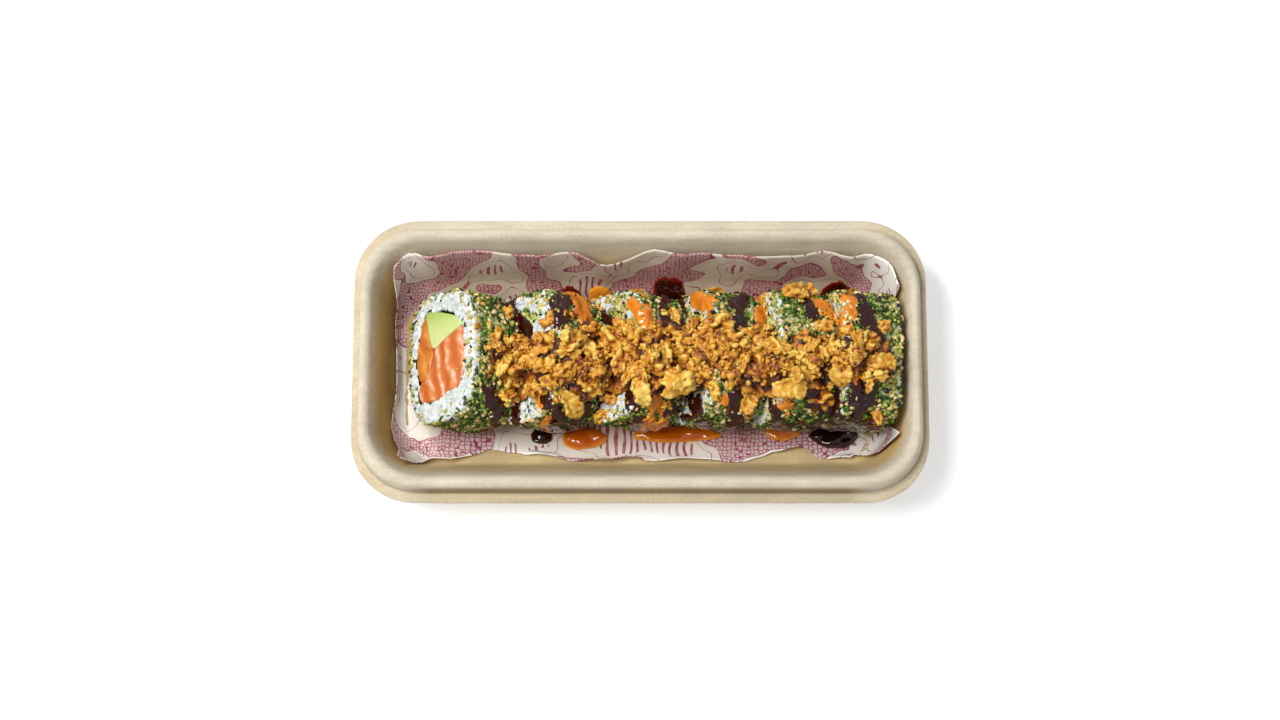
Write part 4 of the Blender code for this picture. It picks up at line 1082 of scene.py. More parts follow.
# Streams: sauce, half width, the side that it runs down, and places on the roll, in millimetres
STREAMS = (
    ("soy", 2.7, "far", ((-51, 18.6, 30.5), (-48.4, 16.3, 26.9), (-42.7, 12.4, 32.8), (-37.4, 6.9, 38.2))),
    ("soy", 3.0, "near", ((-59.1, -12.4, 39.6), (-58.1, -17.9, 36), (-55.9, -21.4, 32.2),
        (-54.7, -22.7, 24.3))),
    ("soy", 1.7, "near", ((-49.1, -12.5, 29.9), (-47.6, -18.4, 28), (-46.8, -23.1, 27.8))),
    ("soy", 2.2, "far", ((-32.4, 21.9, 42), (-30.8, 17.5, 43.5), (-29.6, 11.9, 43.8))),
    ("soy", 1.8, "top", ((-15.2, 20, 26.8), (-10.9, 15.9, 31.7))),
    ("soy", 2.6, "far", ((9.3, 23.2, 32.9), (8.5, 16.2, 38.1), (10.8, 9.6, 37.3))),
    ("soy", 2.0, "far", ((16.8, 23.4, 26), (17.2, 19.7, 26.3), (15.5, 13.7, 32.4))),
    ("soy", 3.2, "far", ((39.6, 22.8, 35.6), (37.8, 16.9, 39.9), (36.2, 11.2, 41.7), (37.7, 6.6, 41))),
    ("soy", 1.9, "far", ((63.3, 23.7, 35.3), (65.7, 17.8, 39.3), (66.3, 12.8, 40.3))),
    ("soy", 2.4, "far", ((83.4, 21.6, 40.4), (85.5, 16.3, 42.1), (87.7, 10.2, 42.4))),
    ("soy", 1.6, "top", ((87.7, 9, 42.5), (91.6, 6.6, 41.2), (93.9, 3.6, 40.4))),
    ("soy", 2.5, "near", ((-35.3, -15.9, 40.8), (-33.7, -21.1, 39.5), (-32.5, -23.8, 27.2))),
    ("soy", 2.2, "near", ((-27.2, -19.2, 38.2), (-25.5, -22.1, 30.1), (-24.5, -23.6, 23))),
    ("soy", 2.2, "near", ((-2.7, -15.6, 41.3), (-2.3, -21.1, 39.7), (-1.2, -23.7, 26.7))),
    ("soy", 1.9, "near", ((23.1, -16, 36.4), (23.8, -22.1, 37.2), (25.2, -23.4, 24))),
    ("soy", 2.5, "near", ((35.6, -15.8, 40.6), (36.5, -20.3, 36.2), (37.9, -24.2, 29.1))),
    ("soy", 2.5, "top", ((46.6, -7.5, 35.7), (48, -11.7, 29.8), (49.3, -16.6, 33.7))),
    ("soy", 2.0, "top", ((50.7, -16.6, 37.1), (51.4, -21.4, 37.4), (54.2, -23.8, 27.4))),
    ("soy", 1.7, "top", ((54.2, -23.8, 27.4), (59, -23.9, 24), (64.8, -24.2, 31))),
    ("soy", 2.8, "near", ((67.1, -11, 40.3), (67.2, -16.9, 38.4), (68.6, -21.1, 32.9),
        (68.8, -23.3, 28.7))),
    ("soy", 3.6, "near", ((76.2, -10.8, 36.1), (76.1, -17.2, 36.3), (77, -23.7, 33.9),
        (77.5, -24.1, 25.2))),
    ("soy", 3.9, "near", ((82.6, -11.8, 43.7), (84.3, -17.5, 41), (83.6, -23, 37.8), (83.7, -24.1, 25.1))),
    ("soy", 3.0, "top", ((88.9, -9.4, 41.9), (88.1, -15.1, 40.8), (87.5, -19.3, 38.6))),
    ("soy", 1.6, "top", ((10.8, -16.7, 34.4), (13.9, -20, 28.1), (18.6, -23, 27.2))),
    ("soy", 1.5, "top", ((-15.5, -11.7, 26.4), (-13.2, -14.7, 29.1), (-16.3, -19.5, 25.9))),
    ("chilli", 4.0, "far", ((-26.5, 26.2, 29.3), (-24.8, 19.3, 36.7), (-21.7, 14, 35.8), (-20.1, 9, 35))),
    ("chilli", 2.9, "far", ((-1.9, 19.1, 42.1), (1.2, 14.9, 44.2), (3.1, 8.6, 44.1))),
    ("chilli", 2.6, "far", ((23.3, 22.5, 36.7), (27.7, 20, 43), (27.7, 14.2, 44.1))),
    ("chilli", 3.4, "far", ((48.4, 25.7, 29.6), (46.2, 23.9, 25.8), (44.9, 15.5, 35.9),
        (47.3, 12.6, 34.8))),
    ("chilli", 2.8, "far", ((65.2, 24.1, 35.5), (67.7, 21, 38.1), (71.3, 18.5, 36.7), (76.8, 16, 34.1),
        (79.9, 8.5, 44.6))),
    ("chilli", 2.6, "far", ((82.1, 23.3, 38.2), (80.9, 19, 42.4), (78.8, 12.7, 43.6))),
    ("chilli", 3.0, "near", ((6.1, -14.2, 40.2), (5.4, -19.2, 38.3), (3.1, -23, 30.9), (1.6, -23.7, 23.2))),
    ("chilli", 2.0, "top", ((54.7, -18, 43), (56, -21.4, 37.5))),
    ("chilli", 2.4, "top", ((81.1, -7.4, 44.7), (82.6, -13.3, 43.4))),
    ("chilli", 2.2, "top", ((-10.8, -8.2, 31.7), (-14, -10.5, 28.2))),
    ("chilli", 1.8, "near", ((-38.4, -15.9, 37.5), (-36.4, -21.6, 38.5), (-36.3, -23.8, 30.8))),
    ("chilli", 2.0, "top", ((-51, -11.4, 31.9), (-50.3, -15.6, 29.8))),
    ("chilli", 2.4, "top", ((31.4, -17.1, 42.5), (32.2, -19.6, 40))),
    ("soy", 3.2, "top", ((-50.1, 23.2, 25.4), (-47.6, 17.7, 27.7), (-43.9, 11.9, 31.5))),
    ("soy", 2.4, "top", ((-30.2, 23.3, 37), (-29.7, 16.8, 43), (-31.5, 8.5, 44.4))),
    ("soy", 2.4, "top", ((-16.4, 19.9, 25.4), (-12.5, 16.3, 29.9), (-9.3, 13.8, 33.5))),
    ("soy", 3.0, "top", ((9.3, 16.8, 37.1), (10.8, 12.1, 36.8))),
    ("soy", 2.6, "top", ((16.4, 24, 25.4), (17.2, 18.1, 26.2))),
    ("soy", 3.8, "top", ((34, 20.8, 40), (40.7, 19.3, 36.9))),
    ("soy", 3.4, "top", ((37, 14.2, 40.8), (38.5, 8, 40.5))),
    ("soy", 2.4, "top", ((65.5, 22.7, 36.1), (66.4, 17, 39.3), (65.9, 12.8, 40.4))),
    ("soy", 2.6, "top", ((85.4, 22.1, 39.7), (87.5, 16.5, 41.4), (87.7, 10.7, 42.4))),
    ("soy", 2.2, "top", ((88.1, 9.1, 42.4), (92.4, 7.1, 40.9), (94.7, 3.3, 40.1))),
    ("soy", 3.4, "near", ((-57.7, -15.4, 37), (-55.5, -20.2, 32.1))),
    ("soy", 2.4, "near", ((-47.2, -20.1, 28.4),)),
    ("soy", 3.2, "near", ((-34.8, -17.5, 41.2), (-32.6, -21.9, 39.9))),
    ("soy", 3.0, "near", ((-21.2, -17.9, 32.5),)),
    ("soy", 2.6, "near", ((-2.3, -17.7, 41.7), (-1.2, -23, 34.4))),
    ("soy", 3.0, "top", ((19.3, -12.5, 29.8), (20.8, -17.1, 32.7))),
    ("soy", 3.0, "near", ((21.9, -20.7, 34.5), (24.8, -23.5, 26))),
    ("soy", 3.0, "near", ((36.4, -15, 40.5), (36.1, -19.5, 38), (35.5, -23.4, 29.2))),
    ("soy", 4.2, "top", ((47.9, -9.4, 33.7), (49.3, -15, 33.7))),
    ("soy", 3.0, "near", ((51.4, -18.5, 38.8), (53.9, -23.5, 32.7))),
    ("soy", 4.0, "near", ((69.3, -20, 34.8), (74.1, -22.1, 30.5))),
    ("soy", 4.6, "near", ((75.6, -13.5, 34.1), (76.1, -21.8, 35.7))),
    ("soy", 5.0, "top", ((80.3, -17.1, 42.6), (85.1, -20.4, 39.8), (87.4, -17.3, 40))),
    ("soy", 3.4, "near", ((66, -17.7, 38.5), (67.9, -22.3, 31))),
    ("soy", 2.6, "top", ((-35.7, -24, 24.7), (-28.7, -24.7, 24.3))),
    ("soy", 2.6, "top", ((9.2, -19.6, 33.1), (19.3, -23.2, 28.1))),
    ("chilli", 4.2, "top", ((-24.1, 24, 31.5), (-21.7, 15.7, 35.5), (-20.1, 10.2, 34.9))),
    ("chilli", 3.0, "top", ((2.3, 17.7, 42.7), (3.1, 10.2, 44))),
    ("chilli", 4.0, "top", ((45.6, 25.9, 21.4), (49, 19.6, 32.7), (49.7, 16.1, 33.9))),
    ("chilli", 3.0, "top", ((23.3, 22.5, 36.7), (27.7, 18.3, 43.6))),
    ("chilli", 3.4, "top", ((68.1, 19.9, 37.4), (72.8, 17.8, 36.4))),
    ("chilli", 3.6, "top", ((79.7, 23.6, 38.6), (81, 19.5, 42.2))),
    ("chilli", 3.4, "top", ((78.1, 12.3, 42.2), (79.1, 7, 44.2))),
    ("chilli", 3.0, "near", ((5.8, -17, 38.8), (7.7, -20.3, 32.8))),
    ("chilli", 2.6, "top", ((-5.4, -9.6, 37.9), (-3.1, -7.1, 40.5))),
    ("chilli", 2.4, "top", ((55.5, -19.8, 40.9), (56.8, -22.8, 36.7))),
    ("chilli", 2.4, "top", ((86.6, -12.3, 42.2), (85, -10.2, 43.2))),
    ("soy", 2.4, "top", ((-43.5, 10, 32), (-40, 5.5, 35.5), (-37, 2, 38))),
    ("soy", 2.6, "top", ((-58, -24.6, 13), (-50, -25, 9), (-42, -25, 12), (-34, -25, 8))),
    ("soy", 2.2, "top", ((-34, -24.8, 16), (-27, -24.8, 13), (-20, -25, 15))),
    ("chilli", 2.4, "top", ((-37, -25.4, 5), (-28, -25.4, 7), (-17, -25.4, 5))),
    ("chilli", 2.6, "top", ((-16, -25.4, 5), (-4, -25.2, 8), (8, -25.2, 6), (20, -25.2, 7),
        (32, -25.2, 5))),
    ("soy", 2.2, "top", ((0, -24.8, 15), (6, -24.8, 20), (12, -24.8, 16), (20, -24.8, 18))),
    ("chilli", 2.2, "top", ((34, -25.2, 6), (44, -25.2, 8), (52, -25.2, 6), (60, -25.2, 8))),
    ("soy", 2.4, "top", ((56, -24.8, 18), (62, -24.8, 15), (69, -24.8, 18))),
    ("soy", 3.4, "top", ((64, -25, 10), (72, -25, 12), (80, -25, 14), (88, -24, 12))),
    ("soy", 2.6, "top", ((88, -20, 36), (90, -23.5, 28), (89, -24.6, 18))),
    ("chilli", 2.6, "top", ((69.8, -12.8, 40), (71.6, -18.6, 38.4), (72.4, -23.2, 32))),
)
# A drop row every so many millimetres along a stream, and how many drops are in it
STREAM_STEP = 0.7
STREAM_DROPS = 4
STREAM_LIFT = 0.9 * MM
# How thick a sauce lies where its colour is deepest
FULL_DEPTH = 1.9 * MM


def glossy_sauce(name, thin, middle, thick, roughness):
    """A wet sauce whose colour deepens with how thick it lies, from its own attribute."""
    finish, shader = new_material(name, Roughness=roughness, Specular_IOR_Level=0.6)
    depth = add_node(finish, "ShaderNodeAttribute", {"attribute_name": "depth"})
    colour = ramped(finish, depth.outputs["Fac"], (0.12, thin), (0.5, middle), (1.0, thick))
    feed(finish, colour, shader.inputs["Base Color"])
    roughened(finish, shader, speckled(finish, object_place(finish), 210.0, 0.6), 1.0, 2.1)
    return finish


def solid_tree(*names):
    """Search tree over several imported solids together."""
    points, polygons = [], []
    for name in names:
        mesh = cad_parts[name].data
        polygons += [tuple(len(points) + i for i in face.vertices) for face in mesh.polygons]
        points += [vert.co.copy() for vert in mesh.vertices]
    return BVHTree.FromPolygons(points, polygons)


def mesh_tree(obj):
    """Search tree over a finished piece of the scene."""
    return BVHTree.FromPolygons([vert.co for vert in obj.data.vertices],
                                [tuple(face.vertices) for face in obj.data.polygons])


def melted(body, iterations, finish, ground):
    """Turns overlapping drops or a faceted pool into smooth sauce that knows how thick it lies."""
    melt = body.modifiers.new("melt", "REMESH")
    melt.mode = "VOXEL"
    melt.voxel_size = VOXEL
    calm = body.modifiers.new("calm", "SMOOTH")
    calm.factor = 0.5
    calm.iterations = iterations
    apply_all(body)
    bpy.ops.object.shade_smooth()
    depths = []
    for vert in body.data.vertices:
        _, _, _, distance = ground.find_nearest(vert.co)
        depths.append(distance / FULL_DEPTH)
    body.data.attributes.new("depth", "FLOAT", "POINT").data.foreach_set("value", depths)
    body.data.materials.clear()
    body.data.materials.append(finish)
    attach(body, "root")


soy_finish = glossy_sauce("soy glaze", "#8A220C", "#3A0805", "#1E0503", 0.06)
chilli_finish = glossy_sauce("chilli sauce", "#F0A82A", "#E5901E", "#C85C08", 0.09)
drop = lumpy_shape("drop", 1, (1.0, 1.0, 0.42), 0.0, 40)
stems = ("rice", "salmon", "salmon_edge", "avocado", "nori")
roll_tree = solid_tree(*[f"{stem}_{number + 1}" for number in range(len(slices)) for stem in stems])
flow_chance = random.Random(9)
flows = {"soy": [], "chilli": []}
for sauce, half, side, route in STREAMS:
    if side == "far":
        route = (*[(route[0][0], y, z) for y, z in DOWN_FAR_SIDE], *route)
    elif side == "near":
        route = (*route, *[(route[-1][0], y, z) for y, z in DOWN_NEAR_SIDE])
    sway = flow_chance.uniform(0, 6)
    walked = 0.0
    for start, end in zip(route, route[1:]):
        start, end = Vector(start) * MM, Vector(end) * MM
        steps = max(1, round((end - start).length / (STREAM_STEP * MM)))
        for i in range(steps):
            walked += STREAM_STEP
            middle = start.lerp(end, i / steps)
            middle.x += 0.9 * MM * math.sin(walked * 0.33 + sway)
            middle, away, _, _ = roll_tree.find_nearest(middle)
            aside = away.cross(end - start).normalized()
            swell = 0.35 * math.sin(walked * 0.27 + 2 * sway)
            half_here = half * (0.95 + swell + flow_chance.uniform(-0.1, 0.1))
            for k in range(STREAM_DROPS):
                share = flow_chance.uniform(-1, 1)
                hit, away, _, _ = roll_tree.find_nearest(middle + aside * (share * half_here * MM))
                size = (1.0 + 0.2 * half) * (1.05 - 0.4 * abs(share)) * flow_chance.uniform(0.8, 1.2)
                spot = lie_on(hit + away * STREAM_LIFT, away, flow_chance.uniform(0, 3), 0.0, size)
                flows[sauce].append((0, spot, 0.5))


def merged_copy(name, node):
    """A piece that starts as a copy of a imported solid, with its loose triangles joined up."""
    piece = bpy.data.objects.new(name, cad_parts[node].data.copy())
    bpy.context.scene.collection.objects.link(piece)
    select_only(piece)
    bpy.ops.object.mode_set(mode="EDIT")
    bpy.ops.mesh.select_all(action="SELECT")
    bpy.ops.mesh.remove_doubles(threshold=0.001 * MM)
    bpy.ops.object.mode_set(mode="OBJECT")
    return piece


paper_tree = mesh_tree(liner)
sauces = (("soy", 6, soy_finish, "soy_glaze"), ("chilli", 5, chilli_finish, "chilli_sauce"))
for sauce, _, finish, slot in sauces:
    melted(joined_copies(f"{sauce}_streams", [drop], flows[sauce]), 5, finish, roll_tree)
for sauce, count, finish, slot in sauces:
    for number in range(1, count + 1):
        pool = merged_copy(f"{sauce}_puddle_{number}", f"{sauce}_pool_{number}")
        melted(pool, 8, finish, paper_tree)
        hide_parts(f"{sauce}_pool_{number}")


# Onions
# Crisp fried onion: a crumbly heap of small golden bits along the top, with curled flakes and a few large
# pale ones among them. It lies loose on the slices and sticks a little to the sauces.
# Knots of batter: x, y, length, width, heading and how pale; the places are in millimetres
KNOTS = (
    (-51.6, 18.9, 5, 5, 0, 0.62), (-47.3, 6.3, 7, 5, 10, 0.5), (-40.9, -12.2, 8, 6.5, 80, 0.95),
    (-51.4, -14.6, 7, 6, 20, 0.7), (-27.7, 4.7, 5, 4.5, 0, 0.8), (-21.3, 10.4, 9.5, 8, 20, 0.3),
    (-9.9, 6.0, 11, 9.5, -20, 0.62), (-27.5, -0.4, 8.5, 5.5, 10, 0.75), (-34.2, -6.3, 7, 6, 80, 0.7),
    (-22.3, -6.7, 12, 11, 0, 0.42), (-6.5, -4.3, 12, 5.5, 95, 0.6), (-0.8, 2.6, 9.5, 9, 30, 0.5),
    (4.0, -3.9, 8, 6.5, 20, 0.66), (13.6, -12.2, 12, 10, 20, 0.84), (-15.5, -21.8, 5, 4.5, 0, 0.6),
    (-16.6, 21.7, 4.5, 3.2, 0, 0.6), (18.1, 6.3, 9, 8, 40, 0.58), (15.9, 1.6, 8, 6, 60, 0.42),
    (19.3, -3.1, 8, 7, 0, 0.6), (29.8, 10.4, 11.5, 8, 10, 0.66), (24.1, 4.7, 9, 6, 50, 0.5),
    (26.5, -0.8, 10.5, 8, 0, 0.48), (35.0, 2.4, 10.5, 7, 20, 0.64), (39.9, 3.6, 5, 4.5, 0, 0.88),
    (46.0, -2.4, 6.5, 5.5, 30, 0.6), (44.5, 7.5, 8, 5, -15, 0.76), (52.1, 1.6, 9, 5, -20, 0.72),
    (60.4, -2.4, 9.5, 5, -10, 0.9), (69.0, -1.2, 10, 5.5, -60, 0.76), (74.3, 0.8, 8.5, 5.5, -40, 0.8),
    (82.3, -2.4, 7, 5.5, 80, 0.86), (83.8, 3.9, 8.5, 6.5, 30, 0.74), (88.4, 2.8, 6.5, 5, 0, 0.6),
    (91.9, -9.1, 6, 4.5, 0, 0.85), (60.9, -10.2, 7, 5.5, 20, 0.7), (69.3, -16.9, 9, 6.5, 0, 0.45),
    (86.9, -10.6, 4.5, 3.5, 0, 0.9), (93.8, 11.0, 5.5, 4.5, 0, 0.66), (59.4, 24.3, 8, 7.5, 90, 0.58),
    (65.5, 24.3, 9, 6, 90, 0.62), (63.6, -8.7, 7, 5, -40, 0.5), (32.7, -5.1, 9, 7, 0, 0.42),
    (22.0, -9.1, 8, 5, -30, 0.6), (-11.3, -0.4, 9, 8, 0, 0.5), (-15.1, -9.1, 8, 7, 0, 0.4),
    (0.2, -10.6, 8, 6, 30, 0.5), (7.8, -7.1, 8, 6, 0, 0.62), (49.9, -5.1, 6, 5, 0, 0.5),
    (56.0, -6.7, 7, 5, 20, 0.55), (65.9, -5.1, 7, 5, 0, 0.5), (78.5, -4.3, 7, 6, 0, 0.6),
    (41.1, -0.4, 7, 6, 0, 0.5), (9.4, -18.5, 5, 4, 0, 0.5), (-3.6, 10.6, 6, 4, 20, 0.5),
    (5.9, 9.5, 5, 4, 0, 0.55), (-41.5, -1.6, 8, 6, 30, 0.62), (-35.6, 4.2, 8, 6.5, -20, 0.66),
    (-30.0, -9.5, 8, 6, 50, 0.56), (-34.5, -12.5, 6, 5, 0, 0.7), (-50.5, -9.0, 7, 5.5, 0, 0.66),
    (-46.5, 0.6, 6, 5, 40, 0.58), (-24.2, 4.4, 8, 7, 10, 0.6), (-19.0, -12.6, 8, 6, -30, 0.62),
    (-37.8, -6.2, 6, 5, 60, 0.6), (-55.0, 1.8, 5, 4, 0, 0.6),
)
# Strips: x, y, length, width, how far each curls, heading, tilt and how pale; angles in degrees
STRIPS = (
    (-56.7, 7.1, 9, 3.2, 30, 57, 0, 0.62), (-44.9, 3.2, 8, 2.4, 70, 15, 0, 0.5),
    (-52.0, -3.9, 12, 3.6, 80, 66, 20, 0.88), (-45.6, -5.1, 15, 2.6, 220, 30, 50, 0.5),
    (-37.2, 0.0, 8.5, 4, 50, 26, 0, 0.6), (-33.8, 13.4, 9, 3.6, 40, 41, 0, 0.56),
    (-19.9, 0.6, 9.5, 5, 40, 100, 15, 0.82), (-28.1, -18.1, 18, 6.6, 50, -43, 18, 0.82),
    (-11.3, -15.4, 9, 3.2, 50, -15, 0, 0.58), (-13.2, -21.3, 7, 3, 120, 5, 20, 0.78),
    (-0.8, -6.7, 9, 3.4, 40, 30, 0, 0.66), (9.7, -0.8, 9, 3.4, 30, 102, 10, 0.92),
    (0.6, -16.9, 11.5, 5.4, 50, -64, 20, 0.93), (12.6, 15.4, 8.5, 3.8, 40, 95, 0, 0.76),
    (15.9, 3.6, 10, 2.6, 60, 70, 0, 0.5), (24.1, -6.3, 10, 4.2, 50, -42, 10, 0.72),
    (37.6, -8.3, 15.5, 4, 30, 52, 10, 0.7), (28.8, -15.4, 8, 3.6, 40, 100, 0, 0.8),
    (44.9, -9.1, 10.5, 6, 30, 0, 10, 0.3), (41.3, -17.7, 10.5, 5.5, 30, 68, 10, 0.72),
    (63.6, 4.5, 8.5, 5, 40, 95, 10, 0.56), (70.5, 11.2, 8, 4.4, 30, 0, 0, 0.72),
    (76.6, -9.1, 12, 8, 120, 92, 0, 0.76), (57.1, -15.2, 13.5, 7.2, 50, -5, 12, 0.8),
    (92.8, -4.3, 11.5, 5.8, 40, 0, 10, 0.7), (91.5, -21.8, 10, 2.8, 30, -72, 0, 0.62),
    (34.6, -1.2, 11, 2.6, 110, 20, 20, 0.6), (47.9, 2.4, 10, 2.4, 120, -30, 20, 0.7),
    (-7.4, 10.6, 8, 2.8, 80, -40, 10, 0.55), (6.7, -14.2, 8, 3, 60, 20, 0, 0.5),
    (19.3, 10.6, 9, 2.8, 60, 60, 0, 0.6), (65.9, 1.6, 9, 3, 80, 40, 10, 0.66),
    (80.4, 7.5, 7, 3, 60, -30, 10, 0.7), (54.8, -1.2, 9, 3, 70, 10, 0, 0.7),
)
KNOT_SIZE = (3.5, 3.5, 2.7)
CRISP_SKIN = 1.1 * MM
# Narrow shreds strewn over the knots, and how many crumbs lie among them
SHREDS = 64
CRUMB_COUNT = 110
DUST_COUNT = 420
BED_VOXEL = 0.6 * MM
# Crumbs stay above this height and beyond this line, and shreds higher up
CRUMBS_ABOVE = 22 * MM
CRUMBS_BEYOND = -21
SHREDS_ABOVE = 30 * MM


def crisp_knot(name, size, subdivisions, seed):
    """A knot of fried onion in batter: pushed in and out at three scales, with painted shade in its hollows
    and painted light on its knobs.
    """
    bpy.ops.mesh.primitive_ico_sphere_add(subdivisions=subdivisions, radius=1.0)
    knot = bpy.context.object
    knot.name = name
    shift = Vector((seed * 3.7, seed * 1.3, seed * 2.9))
    relief = []
    for vert in knot.data.vertices:
        way = vert.co.copy()
        point = Vector((way.x * size[0], way.y * size[1], way.z * size[2]))
        point *= 1 + 0.6 * noise.noise(way * 1.6 + shift)
        knobs = noise.noise(point * (1.9 / size[0]) + shift)
        grains = 1 - 3 * abs(noise.noise(point * (5.5 / size[0]) - shift))
        point += way * (0.42 * knobs + 0.10 * grains) * size[0]
        # The relief sets the tone: painted light on the knobs, painted shade in the hollows
        relief.append(0.9 * knobs + 0.18 * grains - 0.06)
        vert.co = point * MM
    knot.data.attributes.new("relief", "FLOAT", "POINT").data.foreach_set("value", relief)
    bpy.context.scene.collection.objects.unlink(knot)
    return knot


def crisp_strip(name, length, width, bend, seed):
    """A strip of fried onion in its batter: curled along its length, ragged at its edges, grainy, with
    painted light on its knobs and painted shade in its hollows.
    """
    bpy.ops.mesh.primitive_grid_add(x_subdivisions=26, y_subdivisions=8, size=2.0)
    strip = bpy.context.object
    strip.name = name
    shift = Vector((seed * 2.3, seed * 5.1, seed * 0.7))
    radius = length / math.radians(bend)
    for vert in strip.data.vertices:
        s, t = vert.co.x, vert.co.y
        ragged = 1 + 0.45 * noise.noise(Vector((s * 2.1, t, 0)) + shift)
        ragged += 0.3 * noise.noise(Vector((s * 7, t, 1)) + shift)
        turn = s * math.radians(bend) / 2 * (1 + 0.2 * noise.noise(Vector((s * 1.5, t * 2, 2)) + shift))
        rise = 0.2 * width * t * t + 0.9 * noise.noise(Vector((s * 2.2, t * 1.2, 4)) + shift)
        across = t * ragged * (1 - 0.4 * s ** 4) * width / 2
        along = (radius - rise) * math.sin(turn)
        up = (radius + rise) * math.cos(turn) - radius
        vert.co = Vector((along, across, up)) * MM
    skin = strip.modifiers.new("skin", "SOLIDIFY")
    skin.thickness = CRISP_SKIN
    skin.offset = 0
    apply_all(strip)
    relief, moved = [], []
    for vert in strip.data.vertices:
        knobs = noise.noise(vert.co * 650 + shift)
        grains = 1 - 3 * abs(noise.noise(vert.co * 1400 - shift))
        moved.append(vert.co + vert.normal * (0.55 * knobs + 0.16 * grains) * MM)
        # The relief sets the tone: painted light on the knobs, painted shade in the hollows
        relief.append(0.6 * knobs + 0.16 * grains - 0.04)
    for vert, point in zip(strip.data.vertices, moved):
        vert.co = point
    strip.data.attributes.new("relief", "FLOAT", "POINT").data.foreach_set("value", relief)
    bpy.context.scene.collection.objects.unlink(strip)
    return strip


def on_heap(x, y):
    """Highest place of all that lies there so far at a spot in millimetres, and the way that leaves it."""
    hits = [tree.ray_cast(Vector((x * MM, y * MM, 0.1)), Vector((0, 0, -1)))[:2] for tree in heap_trees]
    return max((hit for hit in hits if hit[0] is not None), key=lambda hit: hit[0].z)


def lie_along(point, away, heading, tilt=0.0):
    """Matrix that lays a shape on a surface with its length along a heading seen from above, in degrees."""
    way = Vector((math.cos(math.radians(heading)), math.sin(math.radians(heading)), 0))
    way = (way - away * way.dot(away)).normalized()
    turn = Matrix((way, away.cross(way), away)).transposed().to_4x4()
    return Matrix.Translation(point) @ turn @ Matrix.Rotation(math.radians(tilt), 4, "Y")


def lifted(matrix, shape, share, sink):
    """Raises a laid shape until all but a share of its points are clear of what lies there so far."""
    clear = []
    for vert in list(shape.data.vertices)[::4]:
        spot = matrix @ vert.co
        hit, _ = on_heap(spot.x / MM, spot.y / MM)
        clear.append(spot.z - hit.z)
    clear.sort()
    return Matrix.Translation((0, 0, max(0.0, -sink * MM - clear[int(share * len(clear))]))) @ matrix


# Fried batter with a dry grain; painted light and shade: pale yellow on its knobs, golden on its sides,
# brown in its hollows
crisp_finish = toned_material("fried onion", ((0.0, "#361006"), (0.2, "#6C3008"), (0.4, "#A66012"),
                                              (0.6, "#CB8A22"), (0.8, "#D49E32"), (1.0, "#E2C05C")),
                              0.5, 0.35, 900.0)
bed = merged_copy("onion_bed", "crispy_onions")
bed.data.materials.clear()
bed.data.materials.append(crisp_finish)
packed = bed.modifiers.new("packed", "REMESH")
packed.mode = "VOXEL"
packed.voxel_size = BED_VOXEL
apply_all(bed)
# The bed's tone is painted light and shade: low overall, as shade in the gaps under the loose pieces, paler
# on its knobs and darker in its hollows; noise patches of soaked-in sauce darken it further
relief, moved = [], []
for vert in bed.data.vertices:
    knobs = noise.noise(vert.co * 260)
    nubs = noise.noise(vert.co * 560 + Vector((5, 0, 0)))
    grains = 1 - 3 * abs(noise.noise(vert.co * 1200))
    moved.append(vert.co + vert.normal * (2.0 * knobs + 0.6 * nubs + 0.12 * grains - 1.2) * MM)
    sauced = max(0.0, noise.noise(vert.co * 75 + Vector((0, 3, 0))) + 0.1)
    relief.append(0.27 + 0.6 * knobs + 0.3 * nubs + 0.08 * grains - 0.7 * sauced)
for vert, point in zip(bed.data.vertices, moved):
    vert.co = point
bpy.ops.object.shade_smooth()
bed.data.attributes.new("tone", "FLOAT", "POINT").data.foreach_set("value", relief)
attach(bed, "root")
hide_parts("crispy_onions")

heap_trees = [roll_tree, solid_tree("tray"), mesh_tree(bed)]
onion_chance = random.Random(12)
knot_shapes = [crisp_knot(f"knot_{k}", KNOT_SIZE, 3, 50 + k) for k in range(7)]
knot_shapes += [crisp_knot(f"large_knot_{k}", KNOT_SIZE, 4, 60 + k) for k in range(4)]
knots, strips, strip_shapes, middles = [], [], [], []
for k, (x, y, length, width, heading, tone) in enumerate(KNOTS):
    hit, away = on_heap(x, y)
    kind = 7 + k % 4 if length > 8.4 else k % 7
    lie = lie_along(hit + away * 0.11 * width * MM, away.lerp(Vector((0, 0, 1)), 0.5).normalized(), heading)
    lie = lie @ Matrix.Diagonal((length / 7, width / 7, (length + width) / 15, 1.0))
    knots.append((kind, lifted(lie, knot_shapes[kind], 0.4, 0.3), 1.2 * tone - 0.13))
    middles.append((x, y, 0.35 * length))
crisp_knots = joined_copies("onion_knots", knot_shapes, knots)
heap_trees.append(mesh_tree(crisp_knots))
shreds = []
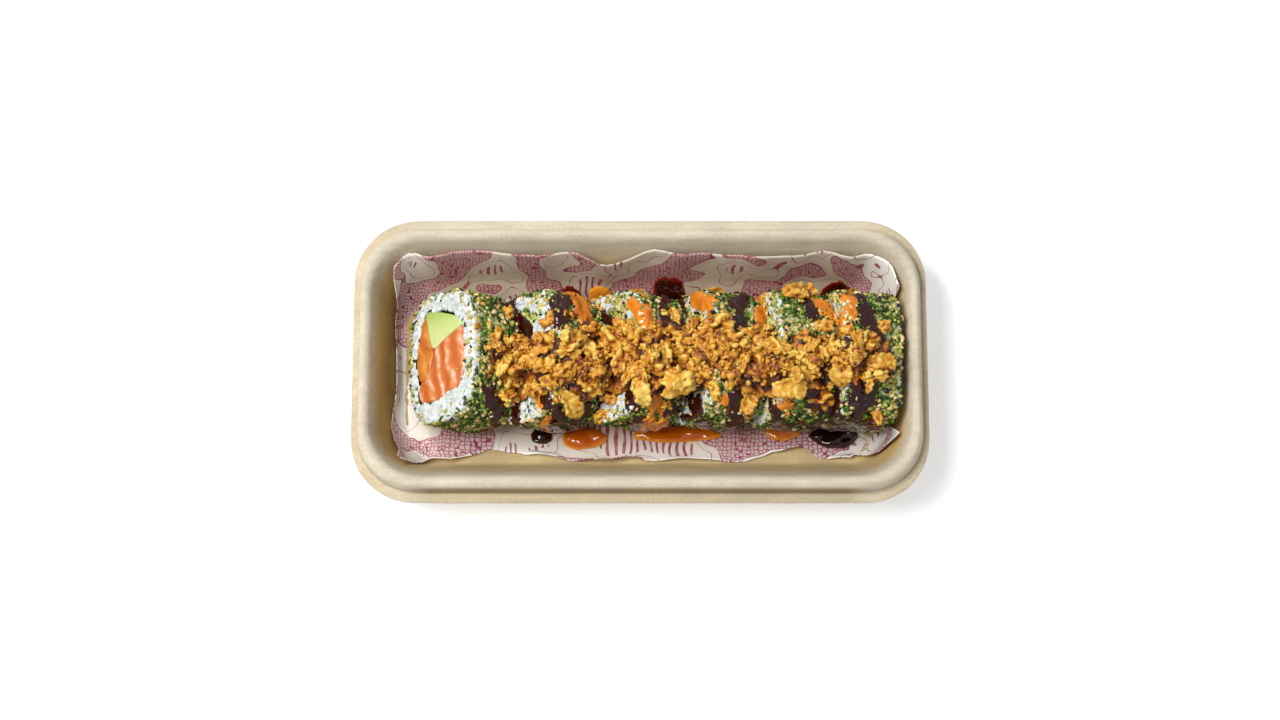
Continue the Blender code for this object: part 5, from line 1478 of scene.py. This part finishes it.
while len(shreds) < SHREDS:
    x, y, spread = onion_chance.choice(middles)
    x, y = x + onion_chance.gauss(0, spread), y + onion_chance.gauss(0, spread)
    if on_heap(x, y)[0].z > SHREDS_ABOVE and -16 < y < 15:
        length = onion_chance.uniform(4.5, 9.0)
        shreds.append((x, y, length, length * onion_chance.uniform(0.22, 0.4), onion_chance.uniform(40, 170),
                       onion_chance.uniform(0, 180), onion_chance.uniform(-25, 25),
                       onion_chance.gauss(0.6, 0.13)))
for k, (x, y, length, width, bend, heading, tilt, tone) in enumerate((*shreds, *STRIPS)):
    hit, away = on_heap(x, y)
    strip_shapes.append(crisp_strip(f"strip_{k}", length, width, bend, 80 + k))
    lie = lie_along(hit + away * (0.8 + 0.05 * length) * MM, away.lerp(Vector((0, 0, 1)), 0.6).normalized(),
                    heading, tilt)
    strips.append((k, lifted(lie, strip_shapes[k], 0.3, 0.2), tone))
    middles.append((x, y, 0.3 * length))
crisp_strips = joined_copies("onion_strips", strip_shapes, strips)

crumb_knots = [crisp_knot(f"crumb_knot_{k}", (1.5, 1.2, 0.95), 2, 130 + k) for k in range(6)]
crumbs = []
while len(crumbs) < CRUMB_COUNT + DUST_COUNT:
    cx, cy, spread = onion_chance.choice(middles)
    fine = len(crumbs) >= CRUMB_COUNT
    spread += 3.0 if fine else 1.5
    x, y = cx + onion_chance.gauss(0, spread), cy + onion_chance.gauss(0, spread)
    hit, away = on_heap(x, y)
    if hit.z < CRUMBS_ABOVE or y < CRUMBS_BEYOND:
        continue
    size = onion_chance.uniform(0.32, 0.6) if fine else onion_chance.uniform(0.7, 1.45)
    spot = lie_on(hit + away * onion_chance.uniform(0.1, 0.9) * MM, away, onion_chance.uniform(0, 6.3),
                  onion_chance.uniform(-1, 1), size)
    crumbs.append((onion_chance.randrange(6), spot, min(0.95, max(0.25, onion_chance.gauss(0.6, 0.17)))))
crisp_crumbs = joined_copies("onion_crumbs", crumb_knots, crumbs)
for crisp in (crisp_knots, crisp_strips, crisp_crumbs):
    crisp.data.materials.append(crisp_finish)
    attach(crisp, "root")
